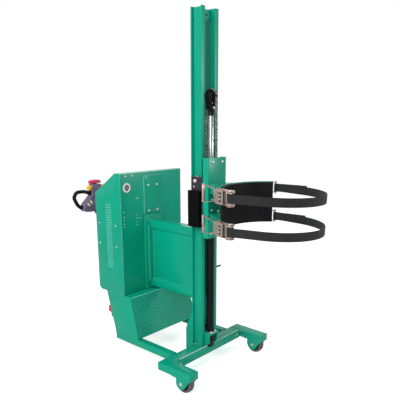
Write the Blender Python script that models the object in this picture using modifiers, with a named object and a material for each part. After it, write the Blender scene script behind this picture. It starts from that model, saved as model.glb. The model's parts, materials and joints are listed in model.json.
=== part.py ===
# Drum lifter: a powered pedestrian lifter that carries a 210 litre steel drum on its front.
# The frame, mast, lift cylinder, carriage with strap cradle, housing and steered drive unit
# are separate pieces. Metres, +Z up. The drum side is -Y, the tiller side is +Y, and the
# machine is symmetric about X = 0 apart from the ratchets on its -X side.

import math

import bmesh
import bpy
from mathutils import Matrix, Vector

mm = 0.001
gap = 0.3 * mm             # running gap between pieces that touch

# What the cradle is shaped to hold
drumRadius = 286 * mm      # shell of the drum between its hoops
drumCentreY = -568 * mm

# Base frame
baseTop = 148 * mm
tubeHeight = 53 * mm
tubeWall = 6 * mm
legOuterX = 409 * mm
legWidth = 79 * mm
legFrontY = -275 * mm
crossbeamDepth = 88 * mm
lipThickness = 6 * mm
lipHeight = 8 * mm
frontWheelRadius = 64 * mm
frontWheelWidth = 44 * mm
frontAxleY = -201 * mm
frontAxleRadius = 8 * mm
lobeRadius = 38 * mm
lobeThickness = 8 * mm
housingHalfWidth = 285 * mm
railOuterX = housingHalfWidth   # the rails are flush with the housing's sides
railWidth = 50 * mm
railBottom = 103 * mm
railTop = 151 * mm
railRearY = 556 * mm
cheekThickness = 8 * mm
pedestalTieTop = 300 * mm

# Mast
mastOuterX = 77 * mm
mastFlange = 32 * mm
mastWeb = 7 * mm
mastFlangeThickness = 11 * mm
mastFrontY = -76 * mm
mastRearY = 12 * mm
mastTop = 2265 * mm
gussetRearY = 68 * mm
gussetTop = 392 * mm
gussetKnee = 252 * mm
gussetThickness = 12 * mm

# Lift cylinder, rod, sheave and chain
cylinderY = -86 * mm
tubeRadius = 25.5 * mm
rodRadius = 16 * mm
tubeFoot = 244 * mm
tubeTop = 1290 * mm
rodBottom = 650 * mm
rodTop = 1690 * mm
sheaveZ = 1768 * mm
chainRadius = 41 * mm      # centre line of the chain round the sheave
chainThickness = 9 * mm
chainWidth = 20 * mm
sheaveWidth = 28 * mm
sheavePinRadius = 9 * mm
rearAnchorZ = 1292 * mm
frontAnchorZ = 1330 * mm

# Carriage
channelHalfWidth = 87 * mm
channelFrontY = -139 * mm
channelDepth = 44 * mm
channelBottom = 908 * mm
channelTop = 1407 * mm
channelWall = 6 * mm
plateThickness = 8 * mm
plateGap = 4 * mm          # between the mast flange and the roller plate
plateBottom = 985 * mm
plateTop = 1287 * mm
guardTop = 1204 * mm
guardBottom = 976 * mm
guardDepth = 23 * mm
guardRearY = 10 * mm
guardFrontY = -85 * mm
rollerRadius = 32 * mm
rollerWidth = 22 * mm
rollerPinRadius = 10 * mm
upperRollerZ = 1262 * mm
lowerRollerZ = 1020 * mm

# Cradle, straps and ratchets
upperStrapZ = 1222 * mm
lowerStrapZ = 1040 * mm
strapWidth = 50 * mm
strapThickness = 3 * mm
strapSag = 12 * mm
padThickness = 24 * mm
bandThickness = 8 * mm
bandHeight = 76 * mm
bandHalfAngle = math.radians(54)
lugAngle = math.radians(57)
ribThickness = 8 * mm
ribSpacing = 44 * mm
ribRootHalf = 75 * mm
ribTipAngle = math.radians(38)
spoolRadius = 19 * mm
spoolDistance = 30 * mm    # spool axis outside the drum's shell
spoolAngle = math.radians(75)
ratchetHalfHeight = 38 * mm
ratchetPlate = 3 * mm
ratchetFrameLength = 112 * mm
handleLength = 268 * mm
handleWaist = 150 * mm      # where the handle's arms come closest
waistHalf = 31 * mm
gripHalf = 48 * mm
gripRadius = 9 * mm

# Housing
housingFrontY = 454 * mm
housingRearY = 723 * mm
housingBottom = 445 * mm
housingTop = 1286 * mm
chamferTopY = 505 * mm
chamferRearZ = 1138 * mm
sheet = 3 * mm
louvreCount = 26
louvrePitch = 17.4 * mm
louvreWidth = 56 * mm
louvreSlot = 4 * mm
louvreTopZ = 1064 * mm
louvreY = 585 * mm
cheekFrontTopY = 388 * mm
cheekFrontFootY = 318 * mm
cheekRearTopY = 643 * mm
cheekRearFootY = 563 * mm
ribCount = 22
ribDepth = 5 * mm
gaugeX = -housingHalfWidth + 57 * mm
gaugeZ = housingTop - 97 * mm
housingCorner = 20 * mm    # cut of the housing's lower rear corner
packClearance = 14 * mm    # between the power pack and the housing's walls
batteryHeight = 272 * mm
tankHeight = 150 * mm

# Spine between the housing and the mast
spineHalfWidth = 40 * mm
spineUpperTop = 948 * mm
spineUpperBottom = 888 * mm
spineLowerTop = 530 * mm
spineLowerBottom = 455 * mm
spinePostHalf = 86 * mm
spinePostTop = 988 * mm
spineWebInset = 12 * mm

# Drive unit and tiller
steerY = 765 * mm
deckTop = 295 * mm
deckThickness = 10 * mm
skirtRadius = 129 * mm
skirtBottom = 150 * mm
driveWheelRadius = 115 * mm
driveWheelWidth = 74 * mm
driveAxleRadius = 15 * mm
neckRadius = 50 * mm
motorRadius = 58 * mm
motorTop = 425 * mm
tillerPivotY = 835 * mm
tillerPivotZ = 470 * mm
tillerPinRadius = 10 * mm
headBaseY = 1092 * mm
headBaseZ = 930 * mm
headTopZ = 1142 * mm
headFrontY = 1080 * mm
headDepth = 60 * mm
stemHalf = 45 * mm
flareHalf = 110 * mm
armRadius = 18 * mm
loopRadius = 10 * mm
loopReach = 194 * mm
buttonRadius = 8 * mm
earInner = 27 * mm
earOuter = 36 * mm
earRadius = 22 * mm
shelfThickness = 16 * mm

axes = {"X": Vector((1, 0, 0)), "Y": Vector((0, 1, 0)), "Z": Vector((0, 0, 1))}
# Columns turn a flat outline and its thickness into the plane that each axis is normal to
frames = {
    "X": Matrix(((0, 0, 1), (1, 0, 0), (0, 1, 0))).to_4x4(),
    "Y": Matrix(((1, 0, 0), (0, 0, -1), (0, 1, 0))).to_4x4(),
    "Z": Matrix.Identity(4),
}


def clearScene():
    for item in list(bpy.data.objects):
        bpy.data.objects.remove(item, do_unlink=True)


def paint(name, color, roughness, metallic=0.0):
    material = bpy.data.materials.new(name)
    material.use_nodes = True
    shader = material.node_tree.nodes["Principled BSDF"]
    shader.inputs["Base Color"].default_value = (*color, 1.0)
    shader.inputs["Roughness"].default_value = roughness
    shader.inputs["Metallic"].default_value = metallic
    return material


def meshObject(name, mesh):
    item = bpy.data.objects.new(name, mesh)
    partCollection.objects.link(item)
    return item


def fromBmesh(name, bm):
    bmesh.ops.recalc_face_normals(bm, faces=bm.faces)
    if bm.calc_volume(signed=True) < 0:
        bmesh.ops.reverse_faces(bm, faces=bm.faces)
    mesh = bpy.data.meshes.new(name)
    bm.to_mesh(mesh)
    bm.free()
    return meshObject(name, mesh)


def box(name, low, high):
    bm = bmesh.new()
    size = [high[i] - low[i] for i in range(3)]
    middle = [(high[i] + low[i]) / 2 for i in range(3)]
    place = Matrix.Translation(middle) @ Matrix.Diagonal((*size, 1))
    bmesh.ops.create_cube(bm, size=1, matrix=place)
    return fromBmesh(name, bm)


def rod(name, start, end, radius, segments=20, endRadius=None):
    start, end = Vector(start), Vector(end)
    along = end - start
    bm = bmesh.new()
    turn = along.to_track_quat("Z", "Y").to_matrix().to_4x4()
    place = Matrix.Translation((start + end) / 2) @ turn
    bmesh.ops.create_cone(bm, cap_ends=True, segments=segments, radius1=radius,
                          radius2=radius if endRadius is None else endRadius,
                          depth=along.length, matrix=place)
    return fromBmesh(name, bm)


def arc(centre, radius, start, end, count):
    step = (end - start) / count
    return [(centre[0] + radius * math.cos(start + i * step),
             centre[1] + radius * math.sin(start + i * step)) for i in range(count + 1)]


def evaluated(item):
    bpy.context.view_layer.update()
    graph = bpy.context.evaluated_depsgraph_get()
    return bpy.data.meshes.new_from_object(item.evaluated_get(graph))


def applied(item):
    mesh = evaluated(item)
    item.modifiers.clear()
    item.data = mesh
    return item


def plate(name, outline, axis, low, high, holes=()):
    """A flat outline given in the plane normal to axis, from low to high along it."""
    curve = bpy.data.curves.new(name, "CURVE")
    curve.dimensions = "2D"
    curve.fill_mode = "BOTH"
    curve.extrude = (high - low) / 2
    for loop in (outline, *holes):
        spline = curve.splines.new("POLY")
        spline.points.add(len(loop) - 1)
        for point, (a, b) in zip(spline.points, loop):
            point.co = (a, b, 0, 1)
        spline.use_cyclic_u = True
    flat = bpy.data.objects.new(name + "_outline", curve)
    partCollection.objects.link(flat)
    mesh = evaluated(flat)
    bpy.data.objects.remove(flat, do_unlink=True)
    bm = bmesh.new()
    bm.from_mesh(mesh)
    bmesh.ops.remove_doubles(bm, verts=bm.verts, dist=1e-6)
    bm.transform(Matrix.Translation(axes[axis] * (low + high) / 2) @ frames[axis])
    return fromBmesh(name, bm)


def circle(centre, radius, count=16):
    return arc(centre, radius, 0, 2 * math.pi, count)[:-1]


def turned(name, profile, centre, axis, steps=28):
    """A closed profile of (radius, height) pairs, turned about an axis through centre."""
    mesh = bpy.data.meshes.new(name)
    count = len(profile)
    mesh.from_pydata([(r, 0, h) for r, h in profile], [(i, (i + 1) % count) for i in range(count)], [])
    item = meshObject(name, mesh)
    screw = item.modifiers.new("turn", "SCREW")
    screw.steps = steps
    screw.render_steps = steps
    screw.use_merge_vertices = True
    screw.merge_threshold = 1e-6
    applied(item)
    bm = bmesh.new()
    bm.from_mesh(item.data)
    bmesh.ops.remove_doubles(bm, verts=bm.verts, dist=1e-6)
    bm.transform(Matrix.Translation(centre) @ frames[axis])
    bpy.data.objects.remove(item, do_unlink=True)
    return fromBmesh(name, bm)


def boolean(item, other, operation):
    step = item.modifiers.new(operation, "BOOLEAN")
    step.operation = operation
    step.solver = "EXACT"
    step.object = other
    applied(item)
    bpy.data.objects.remove(other, do_unlink=True)
    return item


def joined(item, *others):
    for other in others:
        boolean(item, other, "UNION")
    return item


def cut(item, *others):
    for other in others:
        boolean(item, other, "DIFFERENCE")
    return item


def softened(item, width, segments=2, angle=40):
    bevel = item.modifiers.new("edge", "BEVEL")
    bevel.width = width
    bevel.segments = segments
    bevel.limit_method = "ANGLE"
    bevel.angle_limit = math.radians(angle)
    return applied(item)


def onSide(item, side, name):
    """The piece as modelled at +X, or its mirror image at -X."""
    if side > 0:
        return item
    bm = bmesh.new()
    bm.from_mesh(item.data)
    bm.transform(Matrix.Diagonal((-1, 1, 1, 1)))
    bmesh.ops.reverse_faces(bm, faces=bm.faces)
    bpy.data.objects.remove(item, do_unlink=True)
    return fromBmesh(name, bm)


def finish(item, material, pivot=(0, 0, 0), smooth=0.0):
    item.data.materials.clear()
    item.data.materials.append(material)
    pivot = Vector(pivot)
    item.data.transform(Matrix.Translation(-pivot))
    item.location = pivot
    item.parent = root
    if smooth:
        item.data.shade_smooth()
        item.data.set_sharp_from_angle(angle=math.radians(smooth))
    return item


def sweep(name, points, radius, resolution=3):
    """A round tube along points, on a smooth curve through them, with filled caps."""
    curve = bpy.data.curves.new(name, "CURVE")
    curve.dimensions = "3D"
    curve.bevel_depth = radius
    curve.bevel_resolution = resolution
    curve.use_fill_caps = True
    spline = curve.splines.new("POLY")
    smoothPoints = throughPoints(points)
    spline.points.add(len(smoothPoints) - 1)
    for point, co in zip(spline.points, smoothPoints):
        point.co = (*co, 1)
    wire = bpy.data.objects.new(name + "_path", curve)
    partCollection.objects.link(wire)
    mesh = evaluated(wire)
    bpy.data.objects.remove(wire, do_unlink=True)
    bm = bmesh.new()
    bm.from_mesh(mesh)
    bmesh.ops.remove_doubles(bm, verts=bm.verts, dist=1e-6)
    return fromBmesh(name, bm)


def throughPoints(points, steps=2):
    """Points on a smooth curve through the given ones."""
    points = [Vector(p) for p in points]
    ends = [2 * points[0] - points[1], *points, 2 * points[-1] - points[-2]]
    result = []
    for i in range(1, len(ends) - 2):
        a, b, c, d = ends[i - 1:i + 3]
        for j in range(steps):
            t = j / steps
            result.append(0.5 * (2 * b + (c - a) * t + (2 * a - 5 * b + 4 * c - d) * t ** 2
                                 + (3 * b - a - 3 * c + d) * t ** 3))
    result.append(points[-1])
    return result


# Base frame


def buildCrossbeam():
    """A square tube between the legs, with the pedestal of the cylinder welded on its top."""
    innerX = legOuterX - legWidth - gap
    beam = box("crossbeam", (-innerX, -crossbeamDepth, baseTop - tubeHeight), (innerX, 0, baseTop))
    lip = box("lip", (-innerX + 12 * mm, -crossbeamDepth - lipThickness, baseTop - tubeHeight),
              (innerX - 12 * mm, -crossbeamDepth + mm, baseTop + lipHeight))
    joined(beam, lip)
    for side in (-1, 1):
        corner = side * innerX
        outline = [(corner, -crossbeamDepth - 22 * mm), (corner, -crossbeamDepth + mm),
                   (corner - side * 26 * mm, -crossbeamDepth + mm)]
        joined(beam, plate("corner", outline, "Z", baseTop - 12 * mm, baseTop - 2 * mm))
    addPedestal(beam)
    finish(beam, green)


def addPedestal(beam):
    """Two walls, a back and a seat for the cylinder's flange, open at the front."""
    inside = mastOuterX - mastFlange - gap
    front = cylinderY - 36 * mm
    top = tubeFoot - gap
    rear = -22 * mm
    joined(beam, box("seat", (-inside, front, top - 10 * mm), (inside, rear, top)))
    under = top - 9 * mm
    outline = [(front + 6 * mm, baseTop + lipHeight + 20 * mm), (-crossbeamDepth + 4 * mm, baseTop - mm),
               (rear, baseTop - mm), (rear, under), (front + 6 * mm, under)]
    for side in (-1, 1):
        low, high = sorted((side * (inside - 8 * mm), side * inside))
        joined(beam, plate("wall", outline, "X", low, high))
    joined(beam, box("back", (-inside + 7 * mm, rear - 10 * mm, baseTop - mm), (inside - 7 * mm,
                                                                                rear + 10 * mm, under)))
    joined(beam, box("tie", (-inside, rear + 2 * mm, baseTop - mm), (inside, mastRearY - 4 * mm,
                                                                     pedestalTieTop)))


def buildLeg(side, name):
    """A square tube with two lobed cheeks that hold the front wheel."""
    outer = legOuterX
    inner = legOuterX - legWidth
    low = baseTop - tubeHeight
    tube = box(name, (inner, legFrontY, low), (outer, -3 * mm, baseTop))
    softened(tube, 5 * mm, 2)
    hollow = box("hollow", (inner + lobeThickness, legFrontY + tubeWall, low - mm),
                 (outer - lobeThickness, frontAxleY + frontWheelRadius + 14 * mm, baseTop - tubeWall))
    cut(tube, hollow)
    foot = (frontAxleY + 10 * mm, frontWheelRadius)
    lobe = [(frontAxleY + lobeRadius + 6 * mm, low + 8 * mm)]
    lobe += [(frontAxleY + 3 * mm + lobeRadius * math.cos(a), frontWheelRadius + lobeRadius * math.sin(a))
             for a in [math.radians(20 - 20 * i) for i in range(9)]]
    lobe += [(legFrontY + 10 * mm, low + 2 * mm), (legFrontY + 8 * mm, low + 8 * mm)]
    for start in (inner, outer - lobeThickness):
        joined(tube, plate("lobe", lobe, "X", start, start + lobeThickness))
    bolt = rod("bolt", (inner - 9 * mm, frontAxleY, frontWheelRadius), (outer + mm, frontAxleY,
                                                                        frontWheelRadius),
               frontAxleRadius, 16)
    head = rod("head", (outer - mm, frontAxleY, frontWheelRadius), (outer + 8 * mm, frontAxleY,
                                                                    frontWheelRadius),
               12 * mm, 6)
    nut = rod("nut", (inner + mm, frontAxleY, frontWheelRadius), (inner - 9 * mm, frontAxleY,
                                                                  frontWheelRadius),
              12 * mm, 6)
    joined(tube, bolt, head, nut)
    finish(onSide(tube, side, name), green)


def buildFrontWheel(side, name):
    centreX = side * (legOuterX - legWidth / 2)
    half = frontWheelWidth / 2
    bore = frontAxleRadius + gap
    profile = [(bore, half + 6 * mm), (bore, -half - 6 * mm), (18 * mm, -half - 6 * mm),
               (18 * mm, -half + 6 * mm), (44 * mm, -half + 6 * mm), (46 * mm, -half),
               (frontWheelRadius - 6 * mm, -half), (frontWheelRadius, -half + 7 * mm),
               (frontWheelRadius, half - 7 * mm), (frontWheelRadius - 6 * mm, half), (46 * mm, half),
               (44 * mm, half - 6 * mm), (18 * mm, half - 6 * mm), (18 * mm, half + 6 * mm)]
    centre = (centreX, frontAxleY, frontWheelRadius)
    wheel = turned(name, profile, centre, "X", 24)
    finish(wheel, tyreGrey, centre, 35)


def cheekSlope(z):
    """Y of the cheek's front edge at a height."""
    t = (housingBottom - z) / (housingBottom - railTop)
    return cheekFrontTopY + (cheekFrontFootY - cheekFrontTopY) * t


def buildSideFrame(side, name):
    rail = box(name, (railOuterX - railWidth, gap, railBottom), (railOuterX, railRearY, railTop))
    softened(rail, 4 * mm, 2)
    top = housingBottom - gap
    outline = [(cheekSlope(top), top), (cheekFrontFootY, railTop), (cheekFrontFootY + 12 * mm,
                                                                    railBottom + 6 * mm),
               (railRearY - 6 * mm, railBottom + 6 * mm), (cheekRearFootY, railTop + 18 * mm),
               (cheekRearTopY, top)]
    cheek = plate("cheek", outline, "X", railOuterX - cheekThickness, railOuterX)
    joined(rail, cheek)
    finish(onSide(rail, side, name), green)


def buildCounterweight():
    """Cast block between the cheeks; its sloped front is a row of level ribs under a ledge."""
    half = railOuterX - cheekThickness - gap
    top = housingBottom - gap
    foot = railTop + 6 * mm
    step = (top - foot) / ribCount
    front = []
    for i in range(ribCount):
        z = foot + i * step
        y = cheekSlope(z) + ribDepth + mm
        front.append((y, z))
        front.append((y - ribDepth, z + step * 0.35))
    front.append((cheekSlope(top) + mm, top))
    ledgeRear = housingFrontY + 60 * mm
    ledge = [(ledgeRear, top), (ledgeRear, top - 12 * mm), (cheekSlope(top) + 60 * mm, top - 60 * mm)]
    deckFloor = deckTop - deckThickness - gap
    back = [(cheekSlope(deckFloor) + 90 * mm, deckFloor), (railRearY - 4 * mm, deckFloor),
            (railRearY - 4 * mm, railTop + gap), (cheekSlope(railTop) + 14 * mm, railTop + gap)]
    finish(plate("counterweight", front + ledge + back, "X", -half, half), green)


# Mast


def buildMastBeam(side, word):
    """A rolled channel that opens outward, as its web and two tapered flanges."""
    web = mastOuterX - mastFlange
    face = web + mastWeb
    foot = baseTop + gap
    wall = box("mast_web_" + word, (web, mastFrontY, foot), (face, mastRearY, mastTop))
    finish(onSide(wall, side, "mast_web_" + word), green)
    start = face + gap
    thin = mastFlangeThickness - 2 * mm
    outline = [(start, mastFrontY), (mastOuterX, mastFrontY), (mastOuterX, mastFrontY + thin),
               (start, mastFrontY + mastFlangeThickness)]
    name = "mast_flange_front_" + word
    finish(onSide(plate(name, outline, "Z", foot, mastTop), side, name), green)
    outline = [(start, mastRearY), (mastOuterX, mastRearY), (mastOuterX, mastRearY - thin),
               (start, mastRearY - mastFlangeThickness)]
    name = "mast_flange_rear_" + word
    flange = plate(name, outline, "Z", foot, mastTop)
    high = mastOuterX - 3 * mm
    low = baseTop - tubeHeight
    profile = [(mastRearY - mm, gussetTop), (gussetRearY, gussetKnee), (gussetRearY, low), (gap, low),
               (gap, foot + mm), (mastRearY - mm, foot + mm)]
    joined(flange, plate("gusset", profile, "X", high - gussetThickness, high))
    finish(onSide(flange, side, name), green)


def buildMastTies():
    inside = mastOuterX - mastFlange - gap
    finish(box("mast_top_tie", (-inside, -46 * mm, mastTop - 60 * mm), (inside, -34 * mm,
                                                                        mastTop - 10 * mm)), green)
    tie = box("chain_anchor", (-inside, -20 * mm, rearAnchorZ - 26 * mm), (inside, mastRearY - 4 * mm,
                                                                           rearAnchorZ))
    lug = box("lug", (-11 * mm, cylinderY + chainRadius - 5 * mm, rearAnchorZ - 26 * mm),
              (11 * mm, -19 * mm, rearAnchorZ))
    finish(joined(tie, lug), green)


# Cylinder, rod, sheave and chain


def buildCylinder():
    flange = box("cylinder_tube", (-30 * mm, cylinderY - 30 * mm, tubeFoot), (30 * mm, cylinderY + 30 * mm,
                                                                              tubeFoot + 8 * mm))
    softened(flange, 3 * mm, 1)
    tube = rod("tube", (0, cylinderY, tubeFoot + 7 * mm), (0, cylinderY, tubeTop), tubeRadius, 24)
    gland = rod("gland", (0, cylinderY, tubeTop - 34 * mm), (0, cylinderY, tubeTop + 6 * mm),
                tubeRadius + 3 * mm, 24)
    port = rod("port", (0, cylinderY, tubeFoot + 34 * mm), (0, cylinderY + tubeRadius + 14 * mm,
                                                            tubeFoot + 34 * mm), 9 * mm, 12)
    joined(flange, tube, gland, port)
    bore = rod("bore", (0, cylinderY, tubeFoot + 40 * mm), (0, cylinderY, tubeTop + 20 * mm),
               rodRadius + gap, 24)
    cut(flange, bore)
    finish(flange, black, smooth=35)


def buildRod():
    ram = rod("lift_rod", (0, cylinderY, rodBottom), (0, cylinderY, rodTop), rodRadius, 24)
    finish(ram, chrome, (0, cylinderY, rodTop), 35)


def buildYoke():
    cheekInner = sheaveWidth / 2 + mm
    cheekOuter = cheekInner + 9 * mm
    base = box("sheave_yoke", (-cheekOuter, cylinderY - 21 * mm, rodTop + gap),
               (cheekOuter, cylinderY + 21 * mm, rodTop + 24 * mm))
    for side in (-1, 1):
        outline = [(cylinderY - 21 * mm, rodTop + 10 * mm), (cylinderY + 21 * mm, rodTop + 10 * mm)]
        outline += arc((cylinderY, sheaveZ), 24 * mm, 0, math.pi, 8)
        low, high = sorted((side * cheekInner, side * cheekOuter))
        joined(base, plate("cheek", outline, "X", low, high))
    pin = rod("pin", (-cheekOuter - 5 * mm, cylinderY, sheaveZ), (cheekOuter + 5 * mm, cylinderY, sheaveZ),
              sheavePinRadius, 16)
    finish(joined(base, pin), black, (0, cylinderY, rodTop), 35)


def buildSheave():
    groove = chainRadius - chainThickness / 2 - gap
    half = sheaveWidth / 2
    rim = groove + 6 * mm
    bore = sheavePinRadius + gap
    profile = [(bore, half), (bore, -half), (rim, -half), (rim, -chainWidth / 2 - 2 * mm),
               (groove, -chainWidth / 2 - 2 * mm), (groove, chainWidth / 2 + 2 * mm),
               (rim, chainWidth / 2 + 2 * mm), (rim, half)]
    centre = (0, cylinderY, sheaveZ)
    finish(turned("chain_sheave", profile, centre, "X", 24), black, centre, 35)


def buildChains():
    half = chainWidth / 2
    inner = chainRadius - chainThickness / 2
    outer = chainRadius + chainThickness / 2
    centre = (cylinderY, sheaveZ)
    wrap = list(reversed(arc(centre, inner, 0, math.pi, 16))) + arc(centre, outer, 0, math.pi, 16)
    finish(plate("chain_wrap", wrap, "X", -half, half), chainSteel, (0, cylinderY, sheaveZ))
    front = box("chain_front", (-half, cylinderY - outer, frontAnchorZ + gap), (half, cylinderY - inner,
                                                                                sheaveZ - gap))
    finish(front, chainSteel, (0, cylinderY - chainRadius, sheaveZ))
    rear = box("chain_rear", (-half, cylinderY + inner, rearAnchorZ + gap), (half, cylinderY + outer,
                                                                             sheaveZ - gap))
    finish(rear, chainSteel, (0, cylinderY + chainRadius, rearAnchorZ))


# Carriage


def buildChannel():
    rear = channelFrontY + channelDepth
    half = channelHalfWidth
    wall = plateThickness
    outline = [(-half, channelFrontY), (half, channelFrontY), (half, rear), (half - wall, rear),
               (half - wall, channelFrontY + channelWall), (-half + wall, channelFrontY + channelWall),
               (-half + wall, rear), (-half, rear)]
    channel = plate("carriage_channel", outline, "Z", channelBottom, channelTop)
    lugTop = frontAnchorZ
    lug = box("chain_lug", (-12 * mm, channelFrontY + channelWall - mm, lugTop - 34 * mm),
              (12 * mm, cylinderY - chainRadius + 6 * mm, lugTop))
    joined(channel, lug)
    finish(channel, green)


def buildRollerPlate(side, name):
    inner = mastOuterX + plateGap
    outer = inner + plateThickness
    front = channelFrontY + channelDepth + gap
    blade = box(name, (inner, front, plateBottom), (outer, 0, plateTop))
    softened(blade, 3 * mm, 1)
    cover = box("cover", (outer - mm, guardFrontY, guardBottom), (outer + guardDepth, guardRearY, guardTop))
    softened(cover, 5 * mm, 2)
    hollow = box("hollow", (inner - mm, guardFrontY + sheet, guardBottom - mm),
                 (outer + guardDepth - sheet, guardRearY - sheet, guardTop - sheet))
    cut(cover, hollow)
    joined(blade, cover)
    for z in (upperRollerZ, lowerRollerZ):
        y = (mastFrontY + mastRearY) / 2
        pin = rod("stub", (mastOuterX - mastFlange + mastWeb + 2 * mm, y, z), (outer - mm, y, z),
                  rollerPinRadius, 16)
        cap = rod("cap", (outer - mm, y, z), (outer + 6 * mm, y, z), 15 * mm, 6)
        joined(blade, pin, cap)
    finish(onSide(blade, side, name), black)


def buildRoller(side, z, name):
    y = (mastFrontY + mastRearY) / 2
    middle = mastOuterX - mastFlange + mastWeb + 3 * mm + rollerWidth / 2
    half = rollerWidth / 2
    bore = rollerPinRadius + gap
    profile = [(bore, half), (bore, -half), (rollerRadius - 2 * mm, -half), (rollerRadius, -half + 2 * mm),
               (rollerRadius, half - 2 * mm), (rollerRadius - 2 * mm, half)]
    centre = (side * middle, y, z)
    finish(turned(name, profile, centre, "X", 20), steel, centre, 35)


def onDrum(radius, angle):
    """A point at an angle from the drum's rear, positive towards -X."""
    return (-radius * math.sin(angle), drumCentreY + radius * math.cos(angle))


def sector(inner, outer, start, end, count):
    outside = [onDrum(outer, start + (end - start) * i / count) for i in range(count + 1)]
    inside = [onDrum(inner, end + (start - end) * i / count) for i in range(count + 1)]
    return outside + inside


padInner = drumRadius + 1.5 * mm
bandInner = padInner + padThickness + gap
bandOuter = bandInner + bandThickness
lugRadius = bandOuter + 11 * mm


def buildCradle(z, name):
    low = z - bandHeight / 2
    high = z + bandHeight / 2
    band = plate(name, sector(bandInner, bandOuter, -bandHalfAngle, bandHalfAngle, 12), "Z", low, high)
    root_ = channelFrontY - gap
    edge = [onDrum(bandOuter - 2 * mm, ribTipAngle * (1 - 2 * i / 8)) for i in range(9)]
    outline = edge + [(ribRootHalf, root_), (-ribRootHalf, root_)]
    for level in (z - ribSpacing / 2, z + ribSpacing / 2):
        joined(band, plate("rib", outline, "Z", level - ribThickness / 2, level + ribThickness / 2))
    for side in (-1, 1):
        x = side * (ribRootHalf - 12 * mm)
        face = drumCentreY + math.sqrt((bandOuter - 2 * mm) ** 2 - x * x)
        upright = [(x - 4 * mm, root_), (x + 4 * mm, root_), (x + 4 * mm, face), (x - 4 * mm, face)]
        joined(band, plate("upright", upright, "Z", z - ribSpacing / 2, z + ribSpacing / 2))
    near = lugOutline(1)
    hole = circle(onDrum(lugRadius, lugAngle), 5 * mm + gap, 12)
    joined(band, plate("near_lug", near, "Z", z - 30 * mm, z + 30 * mm, holes=[hole]))
    far = lugOutline(-1)
    for level in (z - 33 * mm, z + 29 * mm):
        joined(band, plate("far_ear", far, "Z", level, level + 4 * mm))
    centre = onDrum(lugRadius, -lugAngle)
    joined(band, rod("far_pin", (*centre, z - 36 * mm), (*centre, z + 36 * mm), 6 * mm, 12))
    finish(band, green)


def lugOutline(side):
    """A short tab at the band's end that reaches out to the pin's place."""
    inner = [onDrum(bandInner + 2 * mm, side * (bandHalfAngle - math.radians(3))),
             onDrum(bandOuter + 10 * mm, side * (bandHalfAngle - math.radians(1)))]
    centre = onDrum(lugRadius, side * lugAngle)
    start = math.atan2(centre[1] - drumCentreY, centre[0])
    turn = [start + side * math.radians(a) for a in (110, 80, 50, 20, -10, -40, -70, -100, -130)]
    tip = [(centre[0] + 10 * mm * math.cos(a), centre[1] + 10 * mm * math.sin(a)) for a in reversed(turn)]
    return hull([onDrum(bandInner + 2 * mm, side * (bandHalfAngle - math.radians(3))), *inner, *tip])


def hull(points):
    """Corners of the convex outline round the points, in order."""
    ordered = sorted(set(points))

    def half(sequence):
        chain = []
        for p in sequence:
            while len(chain) > 1 and ((chain[-1][0] - chain[-2][0]) * (p[1] - chain[-2][1])
                                      - (chain[-1][1] - chain[-2][1]) * (p[0] - chain[-2][0])) <= 0:
                chain.pop()
            chain.append(p)
        return chain[:-1]

    return half(ordered) + half(list(reversed(ordered)))


def buildPad():
    """One curved rubber sheet that both brackets carry behind the drum."""
    low = lowerStrapZ - bandHeight / 2 + 4 * mm
    high = upperStrapZ + bandHeight / 2 - 4 * mm
    finish(plate("cradle_pad", sector(padInner, bandInner - gap, -bandHalfAngle, bandHalfAngle, 12), "Z",
                 low, high), rubberBlack)


def ratchetPlace(z):
    """Frame of one ratchet: local X runs back along it, local Y points away from the drum."""
    origin = onDrum(drumRadius + spoolDistance, spoolAngle)
    target = onDrum(lugRadius, lugAngle)
    along = Vector((target[0] - origin[0], target[1] - origin[1], 0))
    length = along.length
    along.normalize()
    out = Vector((-along.y, along.x, 0))
    turn = Matrix((along, out, Vector((0, 0, 1)))).transposed().to_4x4()
    return Matrix.Translation((*origin, z)) @ turn, length


def earOutline(length, earRadius, tailHalf):
    ear = arc((0, 0), earRadius, math.radians(60), math.radians(300), 12)
    tail = arc((length - tailHalf, 0), tailHalf, -math.pi / 2, math.pi / 2, 6)
    return ear + tail


def buildRatchetFrame(z, name):
    place, reach = ratchetPlace(z)
    top = ratchetHalfHeight
    outline = earOutline(reach + 12 * mm, 24 * mm, 12 * mm)
    hole = circle((0, 0), 8 * mm + gap, 16)
    frame = plate(name, outline, "Z", top - ratchetPlate, top, holes=[hole])
    lower = plate("lower", outline, "Z", -top, -top + ratchetPlate, holes=[hole])
    web = box("web", (34 * mm, -11 * mm, -top + mm), (reach - 16 * mm, -8 * mm, top - mm))
    pin = rod("pin", (reach, 0, -top + mm), (reach, 0, top - mm), 5 * mm, 12)
    joined(frame, web, lower, pin)
    frame.data.transform(place)
    finish(frame, zincGold)


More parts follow.
